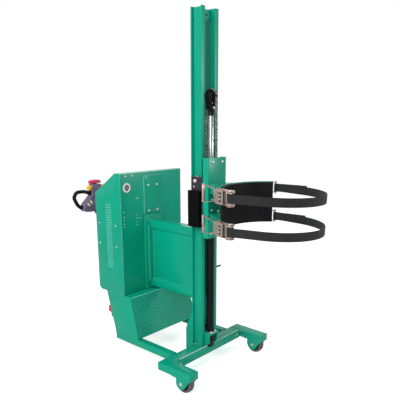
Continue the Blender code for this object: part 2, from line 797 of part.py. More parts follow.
def buildRatchetHandle(z, name):
    """Two bent arms, drawn in at the waist and spread to the grip."""
    place, reach = ratchetPlace(z)
    low = ratchetHalfHeight + 1.5 * mm
    hole = circle((0, 0), 8 * mm + gap, 16)
    ear = arc((0, 0), 22 * mm, math.radians(30), math.radians(330), 12)
    handle = plate(name, ear, "Z", low, low + ratchetPlate, holes=[hole])
    lower = plate("lower", ear, "Z", -low - ratchetPlate, -low, holes=[hole])
    line = [(17 * mm, low), (reach + 18 * mm, low), (handleWaist, waistHalf), (handleLength - 30 * mm,
                                                                               gripHalf),
            (handleLength + 8 * mm, gripHalf)]
    for side in (1, -1):
        outline = [(x, side * h) for x, h in line] + [(x, side * (h + ratchetPlate)) for x,
                                                      h in reversed(line)]
        joined(handle, plate("arm", outline, "Y", -9 * mm, 9 * mm))
    grip = rod("grip", (handleLength, 0, -gripHalf - mm), (handleLength, 0, gripHalf + mm), gripRadius, 16)
    bar = box("bar", (handleWaist - 6 * mm, -4 * mm, -waistHalf - 2 * mm),
              (handleWaist + 8 * mm, 4 * mm, waistHalf + 2 * mm))
    joined(handle, lower, grip, bar)
    handle.data.transform(place)
    finish(handle, zinc, place.translation, 35)


def toothed(radius, depth, teeth):
    points = []
    for i in range(teeth):
        start = 2 * math.pi * i / teeth
        points.append((radius * math.cos(start), radius * math.sin(start)))
        mid = start + 1.3 * math.pi / teeth
        points.append(((radius - depth) * math.cos(mid), (radius - depth) * math.sin(mid)))
    return points


def buildSpool(z, name):
    place, _ = ratchetPlace(z)
    reach = ratchetHalfHeight + ratchetPlate + 4 * mm
    core = rod(name, (0, 0, -strapWidth / 2), (0, 0, strapWidth / 2), spoolRadius, 18)
    shaft = rod("shaft", (0, 0, -reach), (0, 0, reach), 8 * mm, 16)
    joined(core, shaft)
    for low in (-ratchetHalfHeight + ratchetPlate + 1.5 * mm, ratchetHalfHeight - ratchetPlate - 4.5 * mm):
        joined(core, plate("wheel", toothed(23 * mm, 4 * mm, 11), "Z", low, low + 3 * mm))
    core.data.transform(place)
    finish(core, zinc, place.translation, 35)


def buildStrap(z, name):
    """Webbing from the spool round the drum's front to the far pin, with a small sag."""
    radius = drumRadius + strapThickness / 2 + 0.5 * mm
    start = Vector(onDrum(drumRadius + spoolDistance, spoolAngle))
    far = Vector(onDrum(lugRadius, -lugAngle))
    nearTouch = spoolAngle + math.acos(radius / (drumRadius + spoolDistance))
    farTouch = 2 * math.pi - lugAngle - math.acos(radius / lugRadius)
    path = [Vector(onDrum(radius, nearTouch + (farTouch - nearTouch) * i / 32)) for i in range(33)]
    path.insert(0, start + (path[0] - start).normalized() * (spoolRadius + gap))
    path.append(far + (path[-1] - far).normalized() * (6 * mm + gap))
    lengths = [0.0]
    for a, b in zip(path, path[1:]):
        lengths.append(lengths[-1] + (b - a).length)
    rows = []
    for point, length in zip(path, lengths):
        drop = strapSag * math.sin(math.pi * length / lengths[-1]) ** 2
        rows.append([(point.x, point.y, z - drop - strapWidth / 2), (point.x, point.y,
                                                                     z - drop + strapWidth / 2)])
    mesh = bpy.data.meshes.new(name)
    points = [p for row in rows for p in row]
    faces = [(2 * i, 2 * i + 2, 2 * i + 3, 2 * i + 1) for i in range(len(rows) - 1)]
    mesh.from_pydata(points, [], faces)
    strap = meshObject(name, mesh)
    thicken = strap.modifiers.new("thick", "SOLIDIFY")
    thicken.thickness = strapThickness
    thicken.offset = 0
    finish(applied(strap), webbing, smooth=35)


# Housing


def housingOutline(inset):
    """Side view of the housing, as (Y, Z) points, drawn in by inset."""
    top = housingTop - inset
    low = housingBottom + inset
    front = housingFrontY + inset
    rear = housingRearY - inset
    slope = inset * 0.4
    return [(front, low), (rear - housingCorner, low), (rear, low + housingCorner), (rear,
                                                                                     chamferRearZ - slope),
            (chamferTopY - slope, top), (front, top)]


def buildHousingShell():
    """Front, top, chamfer, rear and floor as one folded sheet, with a raised plate on its front."""
    half = housingHalfWidth - sheet - gap
    outer = housingOutline(0)
    inner = housingOutline(sheet)
    folded = plate("housing_shell", outer, "X", -half, half)
    hollow = plate("hollow", inner, "X", -half - mm, half + mm)
    cut(folded, hollow)
    gaugeHole = rod("gauge_hole", (gaugeX, housingFrontY - mm, gaugeZ), (gaugeX, housingFrontY + 6 * mm,
                                                                         gaugeZ),
                    24 * mm + gap, 24)
    cut(folded, gaugeHole)
    access = box("access", (-spinePostHalf + 7 * mm, housingFrontY - 6 * mm, spinePostTop + 4 * mm),
                 (spinePostHalf, housingFrontY + mm, housingTop - 29 * mm))
    finish(joined(folded, softened(access, 1.5 * mm, 1)), green)


def buildSidePanel(side, name):
    """Flat side with a column of pressed louvres over slots."""
    outer = housingHalfWidth
    inner = outer - sheet
    slots = []
    for i in range(louvreCount):
        z = louvreTopZ - i * louvrePitch
        a, b = louvreY - louvreWidth / 2, louvreY + louvreWidth / 2
        slots.append([(a, z), (b, z), (b, z + louvreSlot), (a, z + louvreSlot)])
    panel = plate(name, housingOutline(0), "X", inner, outer, holes=slots)
    for i in range(louvreCount):
        z = louvreTopZ - i * louvrePitch + louvreSlot
        profile = [(outer - mm, z), (outer + 3.5 * mm, z), (outer - mm, z + 6 * mm)]
        joined(panel, plate("hood", profile, "Y", louvreY - louvreWidth / 2, louvreY + louvreWidth / 2))
    finish(onSide(panel, side, name), green)


def buildGauge():
    y = housingFrontY
    bezel = rod("battery_gauge", (gaugeX, y - 5 * mm, gaugeZ), (gaugeX, y - gap, gaugeZ), 34 * mm, 32)
    barrel = rod("barrel", (gaugeX, y - mm, gaugeZ), (gaugeX, y + 28 * mm, gaugeZ), 24 * mm, 24)
    face = rod("face", (gaugeX, y - 6 * mm, gaugeZ), (gaugeX, y - 3 * mm, gaugeZ), 23 * mm, 24)
    joined(bezel, barrel)
    finish(cut(bezel, face), gaugeWhite, smooth=35)


def buildPowerPack():
    """Battery and hydraulic unit, side by side on the tray that carries them in the housing."""
    base = housingBottom + sheet + gap
    half = housingHalfWidth - sheet - packClearance
    front = housingFrontY + sheet + packClearance
    rear = housingRearY - housingCorner - sheet - packClearance
    tray = box("power_pack", (-half, front, base), (half, rear, base + 8 * mm))
    split = half * 0.15
    cells = box("battery", (-half + 5 * mm, front + 5 * mm, base + 7 * mm), (split, rear - 5 * mm,
                                                                             base + batteryHeight))
    tank = box("tank", (split + 2 * packClearance, front + 5 * mm, base + 7 * mm),
               (half - 5 * mm, rear - 5 * mm, base + tankHeight))
    joined(tray, softened(cells, 5 * mm, 1), softened(tank, 6 * mm, 1))
    x = (split + 2 * packClearance + half) / 2
    y = (front + rear) / 2
    motor = rod("motor", (x, y, base + tankHeight - mm), (x, y, base + tankHeight + 190 * mm), 56 * mm, 20)
    finish(joined(tray, motor), black, smooth=35)


# Spine


def buildSpine():
    front = mastRearY + gap
    rear = housingFrontY - gap
    bars = []
    for low, high, soft in ((spineUpperBottom, spineUpperTop, 8 * mm), (spineLowerBottom, spineLowerTop,
                                                                        18 * mm)):
        bar = box("spine_frame", (-spineHalfWidth, front, low), (spineHalfWidth, rear - 11 * mm, high))
        bars.append(softened(bar, soft, 2))
    post = box("post", (-spinePostHalf, rear - 12 * mm, spineLowerBottom - 8 * mm), (spinePostHalf, rear,
                                                                                     spinePostTop))
    softened(post, 2 * mm, 1)
    inner = box("inner_post", (-60 * mm, rear - 26 * mm, spineLowerTop - 30 * mm),
                (60 * mm, rear - 11 * mm, spineUpperBottom + 30 * mm))
    frame = joined(bars[0], post, inner, bars[1])
    frontPost = box("front_post", (-spineHalfWidth + 6 * mm, front, spineLowerTop - 30 * mm),
                    (spineHalfWidth - 6 * mm, front + 10 * mm, spineUpperBottom + 30 * mm))
    web = spineHalfWidth - spineWebInset
    panel = box("web", (-web, front + 5 * mm, spineLowerTop - 20 * mm), (web, rear - 20 * mm,
                                                                         spineUpperBottom + 20 * mm))
    frame = joined(frame, frontPost, panel)
    frame.name = "spine_frame"
    finish(frame, green)


# Drive unit and tiller


def buildRearDeck():
    """The plate behind the cheeks that carries the steered drive."""
    half = railOuterX - cheekThickness - gap
    start = housingFrontY + 16 * mm
    shoulder = cheekRearFootY + 25 * mm
    edge = arc((0, steerY), skirtRadius, math.radians(-20), math.radians(200), 22)
    outline = [(-half, start), (half, start), (half, shoulder)] + edge + [(-half, shoulder)]
    hole = circle((0, steerY), neckRadius + mm, 24)
    finish(plate("rear_deck", outline, "Z", deckTop - deckThickness, deckTop, holes=[hole]), green,
           smooth=30)


def buildWheelSkirt():
    """A short round wall under the deck, open below, that the drive wheel turns in."""
    wall = 5 * mm
    skirt = plate("wheel_skirt", circle((0, steerY), skirtRadius, 36), "Z", skirtBottom,
                  deckTop - deckThickness - gap, holes=[circle((0, steerY), skirtRadius - wall, 36)])
    finish(skirt, green, smooth=30)


def buildDriveUnit():
    under = deckTop - deckThickness - gap
    over = deckTop + gap
    motor = rod("drive_unit", (0, steerY, over), (0, steerY, motorTop), motorRadius, 24)
    softened(motor, 4 * mm, 1, 60)
    neck = rod("neck", (0, steerY, under - 8 * mm), (0, steerY, over + 2 * mm), neckRadius, 24)
    disc = rod("disc", (0, steerY, under - 26 * mm), (0, steerY, under), motorRadius + 8 * mm, 24)
    half = driveWheelWidth / 2
    gearcase = box("gearcase", (half + 4 * mm, steerY - 46 * mm, driveWheelRadius - 45 * mm),
                   (half + 34 * mm, steerY + 46 * mm, under - 20 * mm))
    softened(gearcase, 10 * mm, 1)
    axle = rod("axle", (-half - 2 * mm, steerY, driveWheelRadius), (half + 6 * mm, steerY, driveWheelRadius),
               driveAxleRadius, 20)
    joined(motor, neck, disc, gearcase, axle)
    shelfTop = motorTop + shelfThickness - 4 * mm
    joined(motor, box("shelf", (-earOuter, steerY - 22 * mm, motorTop - 4 * mm),
                      (earOuter, tillerPivotY + earRadius, shelfTop)))
    for side in (-1, 1):
        low, high = sorted((side * earInner, side * earOuter))
        ear = [(tillerPivotY - earRadius, shelfTop - 6 * mm), (tillerPivotY + earRadius, shelfTop - 6 * mm)]
        ear += arc((tillerPivotY, tillerPivotZ), earRadius, 0, math.pi, 10)
        joined(motor, plate("ear", ear, "X", low, high))
    pin = rod("pin", (-earOuter - 2 * mm, tillerPivotY, tillerPivotZ), (earOuter + 2 * mm, tillerPivotY,
                                                                        tillerPivotZ),
              tillerPinRadius, 20)
    finish(joined(motor, pin), black, (0, steerY, driveWheelRadius), 35)


def buildDriveWheel():
    half = driveWheelWidth / 2
    bore = driveAxleRadius + gap
    profile = [(bore, half), (bore, -half), (40 * mm, -half), (44 * mm, -half + 10 * mm), (88 * mm,
                                                                                           -half + 10 * mm),
               (92 * mm, -half), (driveWheelRadius - 6 * mm, -half), (driveWheelRadius, -half + 6 * mm),
               (driveWheelRadius, half - 6 * mm), (driveWheelRadius - 6 * mm, half), (92 * mm, half),
               (88 * mm, half - 10 * mm), (44 * mm, half - 10 * mm), (40 * mm, half)]
    centre = (0, steerY, driveWheelRadius)
    finish(turned("drive_wheel", profile, centre, "X", 28), tyreGrey, centre, 35)


tillerPivot = (0, tillerPivotY, tillerPivotZ)
armEnd = (0, headBaseY + 14 * mm, headBaseZ + 30 * mm)


def buildTillerArm():
    half = earInner - mm
    knuckle = rod("tiller_arm", (-half, tillerPivotY, tillerPivotZ), (half, tillerPivotY, tillerPivotZ),
                  24 * mm, 24)
    arm = rod("arm", tillerPivot, armEnd, armRadius, 20)
    joined(knuckle, arm)
    bore = rod("bore", (-half - mm, tillerPivotY, tillerPivotZ), (half + mm, tillerPivotY, tillerPivotZ),
               tillerPinRadius + gap, 20)
    finish(cut(knuckle, bore), black, tillerPivot, 35)


def headZ(share):
    """A height on the head, as a share of the way from its foot to its top."""
    return headBaseZ + share * (headTopZ - headBaseZ)


def buttonPlaces():
    return [(-0.58 * flareHalf, headZ(0.37)), (-0.8 * flareHalf, headZ(0.29))]


def buildTillerHead():
    """Stem with a wide foot where the two hand loops come in."""
    half = [(armRadius + 6 * mm, headZ(0)), (flareHalf - 14 * mm, headZ(0.057)), (flareHalf, headZ(0.113)),
            (flareHalf, headZ(0.264)), (flareHalf - 12 * mm, headZ(0.35)), (stemHalf + 15 * mm, headZ(0.48)),
            (stemHalf, headZ(0.62)), (stemHalf, headTopZ - 14 * mm), (stemHalf - 11 * mm, headTopZ)]
    outline = half + [(-x, z) for x, z in reversed(half)]
    head = plate("tiller_head", outline, "Y", headFrontY, headFrontY + headDepth)
    softened(head, 6 * mm, 1, 60)
    direction = (Vector(armEnd) - Vector(tillerPivot)).normalized()
    end = Vector(armEnd) + direction * gap
    cut(head, rod("arm_hole", end - direction * 0.1, end, armRadius + gap, 20))
    middleY = headFrontY + headDepth / 2
    cut(head, rod("plunger_hole", (0, middleY, headTopZ - 18 * mm), (0, middleY, headTopZ + mm),
                  10 * mm + gap, 16))
    cut(head, rod("shaft_hole", (-stemHalf - mm, middleY - 8 * mm, paddleZ), (stemHalf + mm,
                                                                              middleY - 8 * mm, paddleZ),
                  5 * mm + gap, 12))
    for x, z in buttonPlaces():
        cut(head, rod("pocket", (x, headFrontY - mm, z), (x, headFrontY + 14 * mm, z), buttonRadius + gap,
                      16))
    finish(head, headPurple, tillerPivot)


paddleZ = headTopZ - 29 * mm


def buildLoop(side, name):
    middleY = headFrontY + headDepth / 2
    high = headZ(0.68)
    low = headZ(0.19)
    path = [(stemHalf + gap, high), (stemHalf + 7 * mm, high), (stemHalf + 15 * mm, high),
            (stemHalf + 55 * mm, high + 14 * mm), (loopReach - 44 * mm, high + 18 * mm),
            (loopReach - 10 * mm, high - 2 * mm), (loopReach, (high + low) / 2 + 18 * mm),
            (loopReach - 12 * mm, low + 34 * mm), (loopReach - 38 * mm, low + 10 * mm),
            (flareHalf + 16 * mm, low), (flareHalf + 8 * mm, low), (flareHalf + gap, low)]
    points = [(side * x, middleY, z) for x, z in path]
    finish(sweep(name, points, loopRadius, 2), rubberBlack, tillerPivot, 35)


def buildBellyButton():
    middleY = headFrontY + headDepth / 2
    low = headTopZ + 9 * mm
    cap = box("belly_button", (-52 * mm, middleY - 26 * mm, low), (52 * mm, middleY + 26 * mm,
                                                                   low + 24 * mm))
    softened(cap, 11 * mm, 3)
    plunger = rod("plunger", (0, middleY, headTopZ - 9 * mm), (0, middleY, low + 2 * mm), 10 * mm, 16)
    finish(joined(cap, plunger), red, (0, middleY, low), 35)


def buildButterfly():
    """Two thumb paddles on one shaft through the stem."""
    y = headFrontY + headDepth / 2 - 8 * mm
    shaft = rod("butterfly_switch", (-stemHalf - 10 * mm, y, paddleZ), (stemHalf + 10 * mm, y, paddleZ),
                5 * mm, 12)
    outline = arc((y, paddleZ), 14 * mm, math.radians(-142), math.radians(55), 9)
    outline += [(y - 14 * mm, paddleZ + 24 * mm), (y - 24 * mm, paddleZ + 22 * mm)]
    for side in (-1, 1):
        low, high = sorted((side * (stemHalf + 1.5 * mm), side * (stemHalf + 22 * mm)))
        joined(shaft, plate("paddle", hull(outline), "X", low, high))
    finish(shaft, yellow, (0, y, paddleZ), 35)


def buildButton(place, name):
    x, z = place
    stem = rod(name, (x, headFrontY - 5 * mm, z), (x, headFrontY + 10 * mm, z), buttonRadius, 16)
    finish(softened(stem, 1.5 * mm, 1, 60), cream, (x, headFrontY, z), 35)


def buildPowerCable():
    """The drive unit's supply lead, from the housing floor to its plug on the wheel skirt."""
    x = -skirtRadius - 22 * mm
    plugTop = deckTop - 33 * mm
    start = housingRearY - 23 * mm
    points = [(x, start, housingBottom - gap), (x, start + 2 * mm, housingBottom - 15 * mm),
              (x, start + 22 * mm, housingBottom - 45 * mm), (x, steerY - 13 * mm, plugTop + 110 * mm),
              (x, steerY + 3 * mm, plugTop + 68 * mm), (x, steerY + mm, plugTop + 28 * mm),
              (x, steerY, plugTop + 14 * mm), (x, steerY, plugTop - 6 * mm)]
    plug = box("plug", (x - 16 * mm, steerY - 22 * mm, plugTop - 48 * mm),
               (-skirtRadius - gap, steerY + 22 * mm, plugTop))
    cable = joined(sweep("power_cable", points, 7 * mm, 2), softened(plug, 3 * mm, 1))
    finish(cable, rubberBlack, smooth=35)


clearScene()
partCollection = bpy.data.collections.new("drum_lifter")
bpy.context.scene.collection.children.link(partCollection)
root = bpy.data.objects.new("drum_lifter_root", None)
partCollection.objects.link(root)

green = paint("green_paint", (0.02, 0.42, 0.26), 0.35)
black = paint("black_paint", (0.015, 0.015, 0.017), 0.4)
rubberBlack = paint("black_rubber", (0.02, 0.02, 0.022), 0.75)
tyreGrey = paint("grey_tyre", (0.16, 0.15, 0.17), 0.6)
steel = paint("steel", (0.45, 0.45, 0.46), 0.35, 1.0)
zinc = paint("zinc", (0.72, 0.71, 0.68), 0.3, 1.0)
zincGold = paint("gold_zinc", (0.72, 0.55, 0.38), 0.3, 1.0)
chrome = paint("chrome", (0.85, 0.86, 0.88), 0.08, 1.0)
chainSteel = paint("chain_steel", (0.12, 0.12, 0.13), 0.4, 1.0)
webbing = paint("webbing", (0.05, 0.05, 0.055), 0.85)
headPurple = paint("head_plastic", (0.16, 0.14, 0.2), 0.5)
yellow = paint("yellow_plastic", (0.9, 0.5, 0.02), 0.45)
cream = paint("cream_plastic", (0.85, 0.72, 0.5), 0.5)
red = paint("red_plastic", (0.7, 0.02, 0.05), 0.4)
gaugeWhite = paint("gauge_ring", (0.8, 0.8, 0.8), 0.4)

buildCrossbeam()
for side, word in ((-1, "right"), (1, "left")):
    buildLeg(side, "leg_" + word)
    buildFrontWheel(side, "front_wheel_" + word)
    buildSideFrame(side, "side_frame_" + word)
    buildMastBeam(side, word)
    buildRollerPlate(side, "roller_plate_" + word)
    buildRoller(side, upperRollerZ, "roller_upper_" + word)
    buildRoller(side, lowerRollerZ, "roller_lower_" + word)
    buildSidePanel(side, "side_panel_" + word)
    buildLoop(side, "hand_loop_" + word)
buildCounterweight()
buildMastTies()
buildCylinder()
buildRod()
buildYoke()
buildSheave()
buildChains()
buildChannel()
buildPad()
for z, word in ((upperStrapZ, "upper"), (lowerStrapZ, "lower")):
    buildCradle(z, "cradle_" + word)
    buildRatchetFrame(z, "ratchet_frame_" + word)
    buildRatchetHandle(z, "ratchet_handle_" + word)
    buildSpool(z, "ratchet_spool_" + word)
    buildStrap(z, "strap_" + word)
buildHousingShell()
buildGauge()
buildPowerPack()
buildSpine()
buildRearDeck()
buildWheelSkirt()
buildDriveUnit()
buildDriveWheel()
buildTillerArm()
buildTillerHead()
buildBellyButton()
buildButterfly()
buildButton(buttonPlaces()[0], "lift_button")
buildButton(buttonPlaces()[1], "lower_button")
buildPowerCable()

# The origin is the middle of the footprint, so the front and the rear reach equally far
frontReach = drumCentreY - drumRadius - strapThickness - 0.5 * mm
rearReach = headFrontY + headDepth
root.location.y = -(frontReach + rearReach) / 2
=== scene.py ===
import json
from math import acos, asin, atan2, copysign, cos, degrees, pi, radians, sin, sqrt, tan

import bmesh
import bpy
from mathutils import Matrix, Vector


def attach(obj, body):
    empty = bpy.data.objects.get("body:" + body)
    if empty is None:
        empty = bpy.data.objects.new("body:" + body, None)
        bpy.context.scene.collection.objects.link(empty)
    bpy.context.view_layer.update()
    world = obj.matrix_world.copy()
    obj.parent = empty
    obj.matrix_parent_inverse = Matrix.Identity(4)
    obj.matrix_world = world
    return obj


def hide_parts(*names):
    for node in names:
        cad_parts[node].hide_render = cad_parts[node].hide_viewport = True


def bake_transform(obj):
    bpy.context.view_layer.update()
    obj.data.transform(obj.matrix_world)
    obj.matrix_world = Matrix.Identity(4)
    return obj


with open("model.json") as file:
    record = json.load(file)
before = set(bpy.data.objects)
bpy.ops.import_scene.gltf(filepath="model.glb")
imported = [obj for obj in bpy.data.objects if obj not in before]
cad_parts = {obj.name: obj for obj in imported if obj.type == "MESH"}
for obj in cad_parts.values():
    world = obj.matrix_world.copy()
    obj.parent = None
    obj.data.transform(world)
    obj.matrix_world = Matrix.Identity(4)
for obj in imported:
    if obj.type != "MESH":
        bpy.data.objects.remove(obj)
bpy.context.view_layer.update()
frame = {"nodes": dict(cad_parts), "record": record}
scene = bpy.context.scene
originShift = -141.25  # mm, from the mast's own zero to the middle of the footprint
gap = 0.3  # mm, between pieces that touch
bothSides = ((-1, "right"), (1, "left"))


def at(x, y, z):  # millimetres in the machine's own frame, drum side at -Y
    return Vector((x, y + originShift, z)) / 1000


# Materials: shader groups first

def feed(tree, socket, value):
    # Links a socket, or stores a plain value; a colour of three gets its alpha
    if isinstance(value, bpy.types.NodeSocket):
        tree.links.new(value, socket)
    elif isinstance(value, tuple) and len(value) == 3 and socket.type == "RGBA":
        socket.default_value = (*value, 1)
    else:
        socket.default_value = value


def feedNamed(tree, node, values):
    for key, value in values.items():
        feed(tree, node.inputs[key.replace("_", " ")], value)


def addNode(tree, kind, **values):
    # Names that the node has are its settings, the others its inputs
    node = tree.nodes.new("ShaderNode" + kind)
    for key, value in values.items():
        if hasattr(node, key):
            setattr(node, key, value)
        else:
            feedNamed(tree, node, {key: value})
    return node


def addFed(tree, kind, inputs, **values):
    node = addNode(tree, kind, **values)
    for socket, value in zip(node.inputs, inputs):
        feed(tree, socket, value)
    return node.outputs


def mathNode(tree, operation, *inputs, clamp=False):
    return addFed(tree, "Math", inputs, operation=operation, use_clamp=clamp)[0]


def times(tree, a, b, clamp=False):
    return mathNode(tree, "MULTIPLY", a, b, clamp=clamp)


def scaled(tree, value, factor, base):
    return mathNode(tree, "MULTIPLY_ADD", value, factor, base)


def mixColour(tree, factor, a, b):
    node = addNode(tree, "Mix", data_type="RGBA")
    for index, value in ((0, factor), (6, a), (7, b)):
        feed(tree, node.inputs[index], value)
    return node.outputs[2]


def ramp(tree, value, low, high):
    return addFed(tree, "MapRange", (value, low, high), interpolation_type="SMOOTHSTEP")[0]


def noiseAt(tree, coordinates, scale, detail=3.0, stretch=None):
    if stretch:
        coordinates = addNode(tree, "Mapping", Vector=coordinates, Scale=stretch).outputs[0]
    return addNode(tree, "TexNoise", Vector=coordinates, Scale=scale, Detail=detail).outputs["Fac"]


def objectSpace(tree):
    return addNode(tree, "TexCoord").outputs["Object"]


def apart(tree, vector):
    return addNode(tree, "SeparateXYZ", Vector=vector).outputs


def newGroup(name, inputs, outputs):
    # inputs: each name with its default, a number or a vector; outputs: each name with its kind
    tree = bpy.data.node_groups.new(name, "ShaderNodeTree")
    for label, value in inputs.items():
        kind = "NodeSocketVector" if isinstance(value, tuple) else "NodeSocketFloat"
        tree.interface.new_socket(label, in_out="INPUT", socket_type=kind).default_value = value
    for label, kind in outputs.items():
        tree.interface.new_socket(label, in_out="OUTPUT", socket_type="NodeSocket" + kind)
    return tree, tree.nodes.new("NodeGroupInput").outputs, tree.nodes.new("NodeGroupOutput")


def buildWearGroup():
    # Worn edges: where the rounded normal leaves the true one, broken up by noise
    tree, start, end = newGroup("edgeWear", {"Radius": 0.003, "Amount": 0.5}, {"Mask": "Float", "Normal": "Vector"})
    rounded = addNode(tree, "Bevel", samples=4, Radius=start["Radius"]).outputs[0]
    true = addNode(tree, "NewGeometry").outputs["Normal"]
    same = addFed(tree, "VectorMath", (rounded, true), operation="DOT_PRODUCT")["Value"]
    edge = mathNode(tree, "SUBTRACT", 1.0, same, clamp=True)
    place = objectSpace(tree)
    uneven = mathNode(tree, "ADD", noiseAt(tree, place, 55.0, 4.0), noiseAt(tree, place, 6.0, 2.0))
    mask = times(tree, times(tree, edge, uneven), 9.0)
    limit = mathNode(tree, "SUBTRACT", 1.55, start["Amount"])
    mask = mathNode(tree, "SUBTRACT", mask, limit, clamp=True)
    feedNamed(tree, end, {"Mask": times(tree, mask, 3.0, clamp=True), "Normal": rounded})
    return tree


def buildGrimeGroup():
    # Soft patches of dust and handling, finer marks, and more dust low down and on upward faces
    tree, start, end = newGroup("workshopDust", {"Scale": 3.0, "Low Height": 0.5},
                                {"Patches": "Float", "Marks": "Float", "Dust": "Float"})
    place = objectSpace(tree)
    patches = addNode(tree, "TexNoise", Vector=place, Scale=start["Scale"], Detail=5.0, Roughness=0.6).outputs["Fac"]
    marks = noiseAt(tree, place, 28.0, 6.0, (1.0, 1.0, 0.18))
    up = ramp(tree, apart(tree, addNode(tree, "NewGeometry").outputs["Normal"])["Z"], 0.2, 1.0)
    low = mathNode(tree, "DIVIDE", apart(tree, place)["Z"], start["Low Height"])
    low = mathNode(tree, "SUBTRACT", 1.0, low, clamp=True)
    dust = times(tree, mathNode(tree, "ADD", low, times(tree, up, 0.35)), ramp(tree, patches, 0.35, 0.7))
    feedNamed(tree, end, {"Patches": patches, "Marks": ramp(tree, marks, 0.56, 0.74), "Dust": dust})
    return tree


def buildBrushedGroup():
    # Fine drawn lines, for plated and machined metal
    tree, start, end = newGroup("drawnLines", {"Scale": 400.0, "Stretch": (1.0, 1.0, 0.04)},
                                {"Lines": "Float", "Stain": "Float"})
    place = objectSpace(tree)
    drawn = addFed(tree, "VectorMath", (place, start["Stretch"]), operation="MULTIPLY")[0]
    lines = addNode(tree, "TexNoise", Vector=drawn, Scale=start["Scale"], Detail=2.0).outputs["Fac"]
    feedNamed(tree, end, {"Lines": lines, "Stain": ramp(tree, noiseAt(tree, place, 45.0, 5.0), 0.4, 0.68)})
    return tree


wearGroup = buildWearGroup()
dustGroup = buildGrimeGroup()
linesGroup = buildBrushedGroup()


def newMaterial(name, **values):
    material = bpy.data.materials.new(name)
    material.use_nodes = True
    tree = material.node_tree
    shader = tree.nodes["Principled BSDF"]
    feedNamed(tree, shader, values)
    return material, tree, shader


def placeGroup(tree, group, **values):
    return addNode(tree, "Group", node_tree=group, **values).outputs


def dress(tree, shader, colour, rough, height, bump, depth, normal):
    relief = addNode(tree, "Bump", Strength=bump, Distance=depth, Height=height, Normal=normal).outputs["Normal"]
    feedNamed(tree, shader, {"Base Color": colour, "Roughness": rough, "Normal": relief})


dustColour = (0.2, 0.4, 0.34)


def paintMaterial(name, colour, deep, worn, roughness, wear, radius=0.003, dusty=0.35):
    # Sprayed enamel: orange peel, faint patches, chipped edges that show primer, dust low down
    material, tree, shader = newMaterial(name, Specular_IOR_Level=0.15)
    place = objectSpace(tree)
    grime = placeGroup(tree, dustGroup, Scale=2.6, Low_Height=0.55)
    edges = placeGroup(tree, wearGroup, Radius=radius, Amount=wear)
    base = mixColour(tree, ramp(tree, grime["Patches"], 0.3, 0.75), colour, deep)
    base = mixColour(tree, times(tree, grime["Dust"], dusty), base, dustColour)
    base = mixColour(tree, edges["Mask"], base, worn)
    rough = scaled(tree, grime["Patches"], 0.14, roughness - 0.07)
    rough = scaled(tree, edges["Mask"], 0.25, scaled(tree, grime["Marks"], 0.04, rough))
    peel = scaled(tree, noiseAt(tree, place, 9.0, 1.0), 3.0, noiseAt(tree, place, 420.0, 2.0))
    dress(tree, shader, base, rough, peel, 0.16, 0.0006, edges["Normal"])
    return material


def metalMaterial(name, colour, stain, roughness, scale=400.0):
    material, tree, shader = newMaterial(name, Metallic=1.0)
    lines = placeGroup(tree, linesGroup, Scale=scale)
    edges = placeGroup(tree, wearGroup, Radius=0.0012, Amount=0.4)
    bright = tuple(min(1.0, c * 1.35) for c in colour)
    base = mixColour(tree, times(tree, lines["Stain"], 0.7), colour, stain)
    base = mixColour(tree, times(tree, edges["Mask"], 0.7), base, bright)
    rough = scaled(tree, lines["Lines"], 0.08, scaled(tree, lines["Stain"], 0.16, roughness))
    dress(tree, shader, base, rough, lines["Lines"], 0.12, 0.0003, edges["Normal"])
    return material


rubber = {"shine": 0.2, "scale": 9.0, "low": 0.18, "radius": 0.002, "wear": 0.45, "patches": (0.35, 0.75), "pale": 0.6,
          "marks": -0.12, "grain": 600.0, "detail": 3.0, "bump": 0.35, "depth": 0.0004}
plastic = {"shine": 0.35, "scale": 14.0, "low": 0.2, "radius": 0.0015, "wear": 0.4, "patches": (0.4, 0.7), "pale": 0.4,
           "marks": 0.12, "grain": 500.0, "detail": 2.0, "bump": 0.2, "depth": 0.0003}


def mouldedMaterial(name, kind, colour, pale, roughness, shine=None):
    material, tree, shader = newMaterial(name, Specular_IOR_Level=kind["shine"] if shine is None else shine)
    grime = placeGroup(tree, dustGroup, Scale=kind["scale"], Low_Height=kind["low"])
    edges = placeGroup(tree, wearGroup, Radius=kind["radius"], Amount=kind["wear"])
    base = mixColour(tree, times(tree, ramp(tree, grime["Patches"], *kind["patches"]), kind["pale"]), colour, pale)
    base = mixColour(tree, times(tree, edges["Mask"], 0.5), base, pale)
    rough = scaled(tree, grime["Marks"], kind["marks"], roughness)
    grain = noiseAt(tree, objectSpace(tree), kind["grain"], kind["detail"])
    dress(tree, shader, base, rough, grain, kind["bump"], kind["depth"], edges["Normal"])
    return material


weave = {"pitch": 2.4, "warp": 1.7, "middle": 25.0, "selvedge": (21.0, 22.5)}  # mm


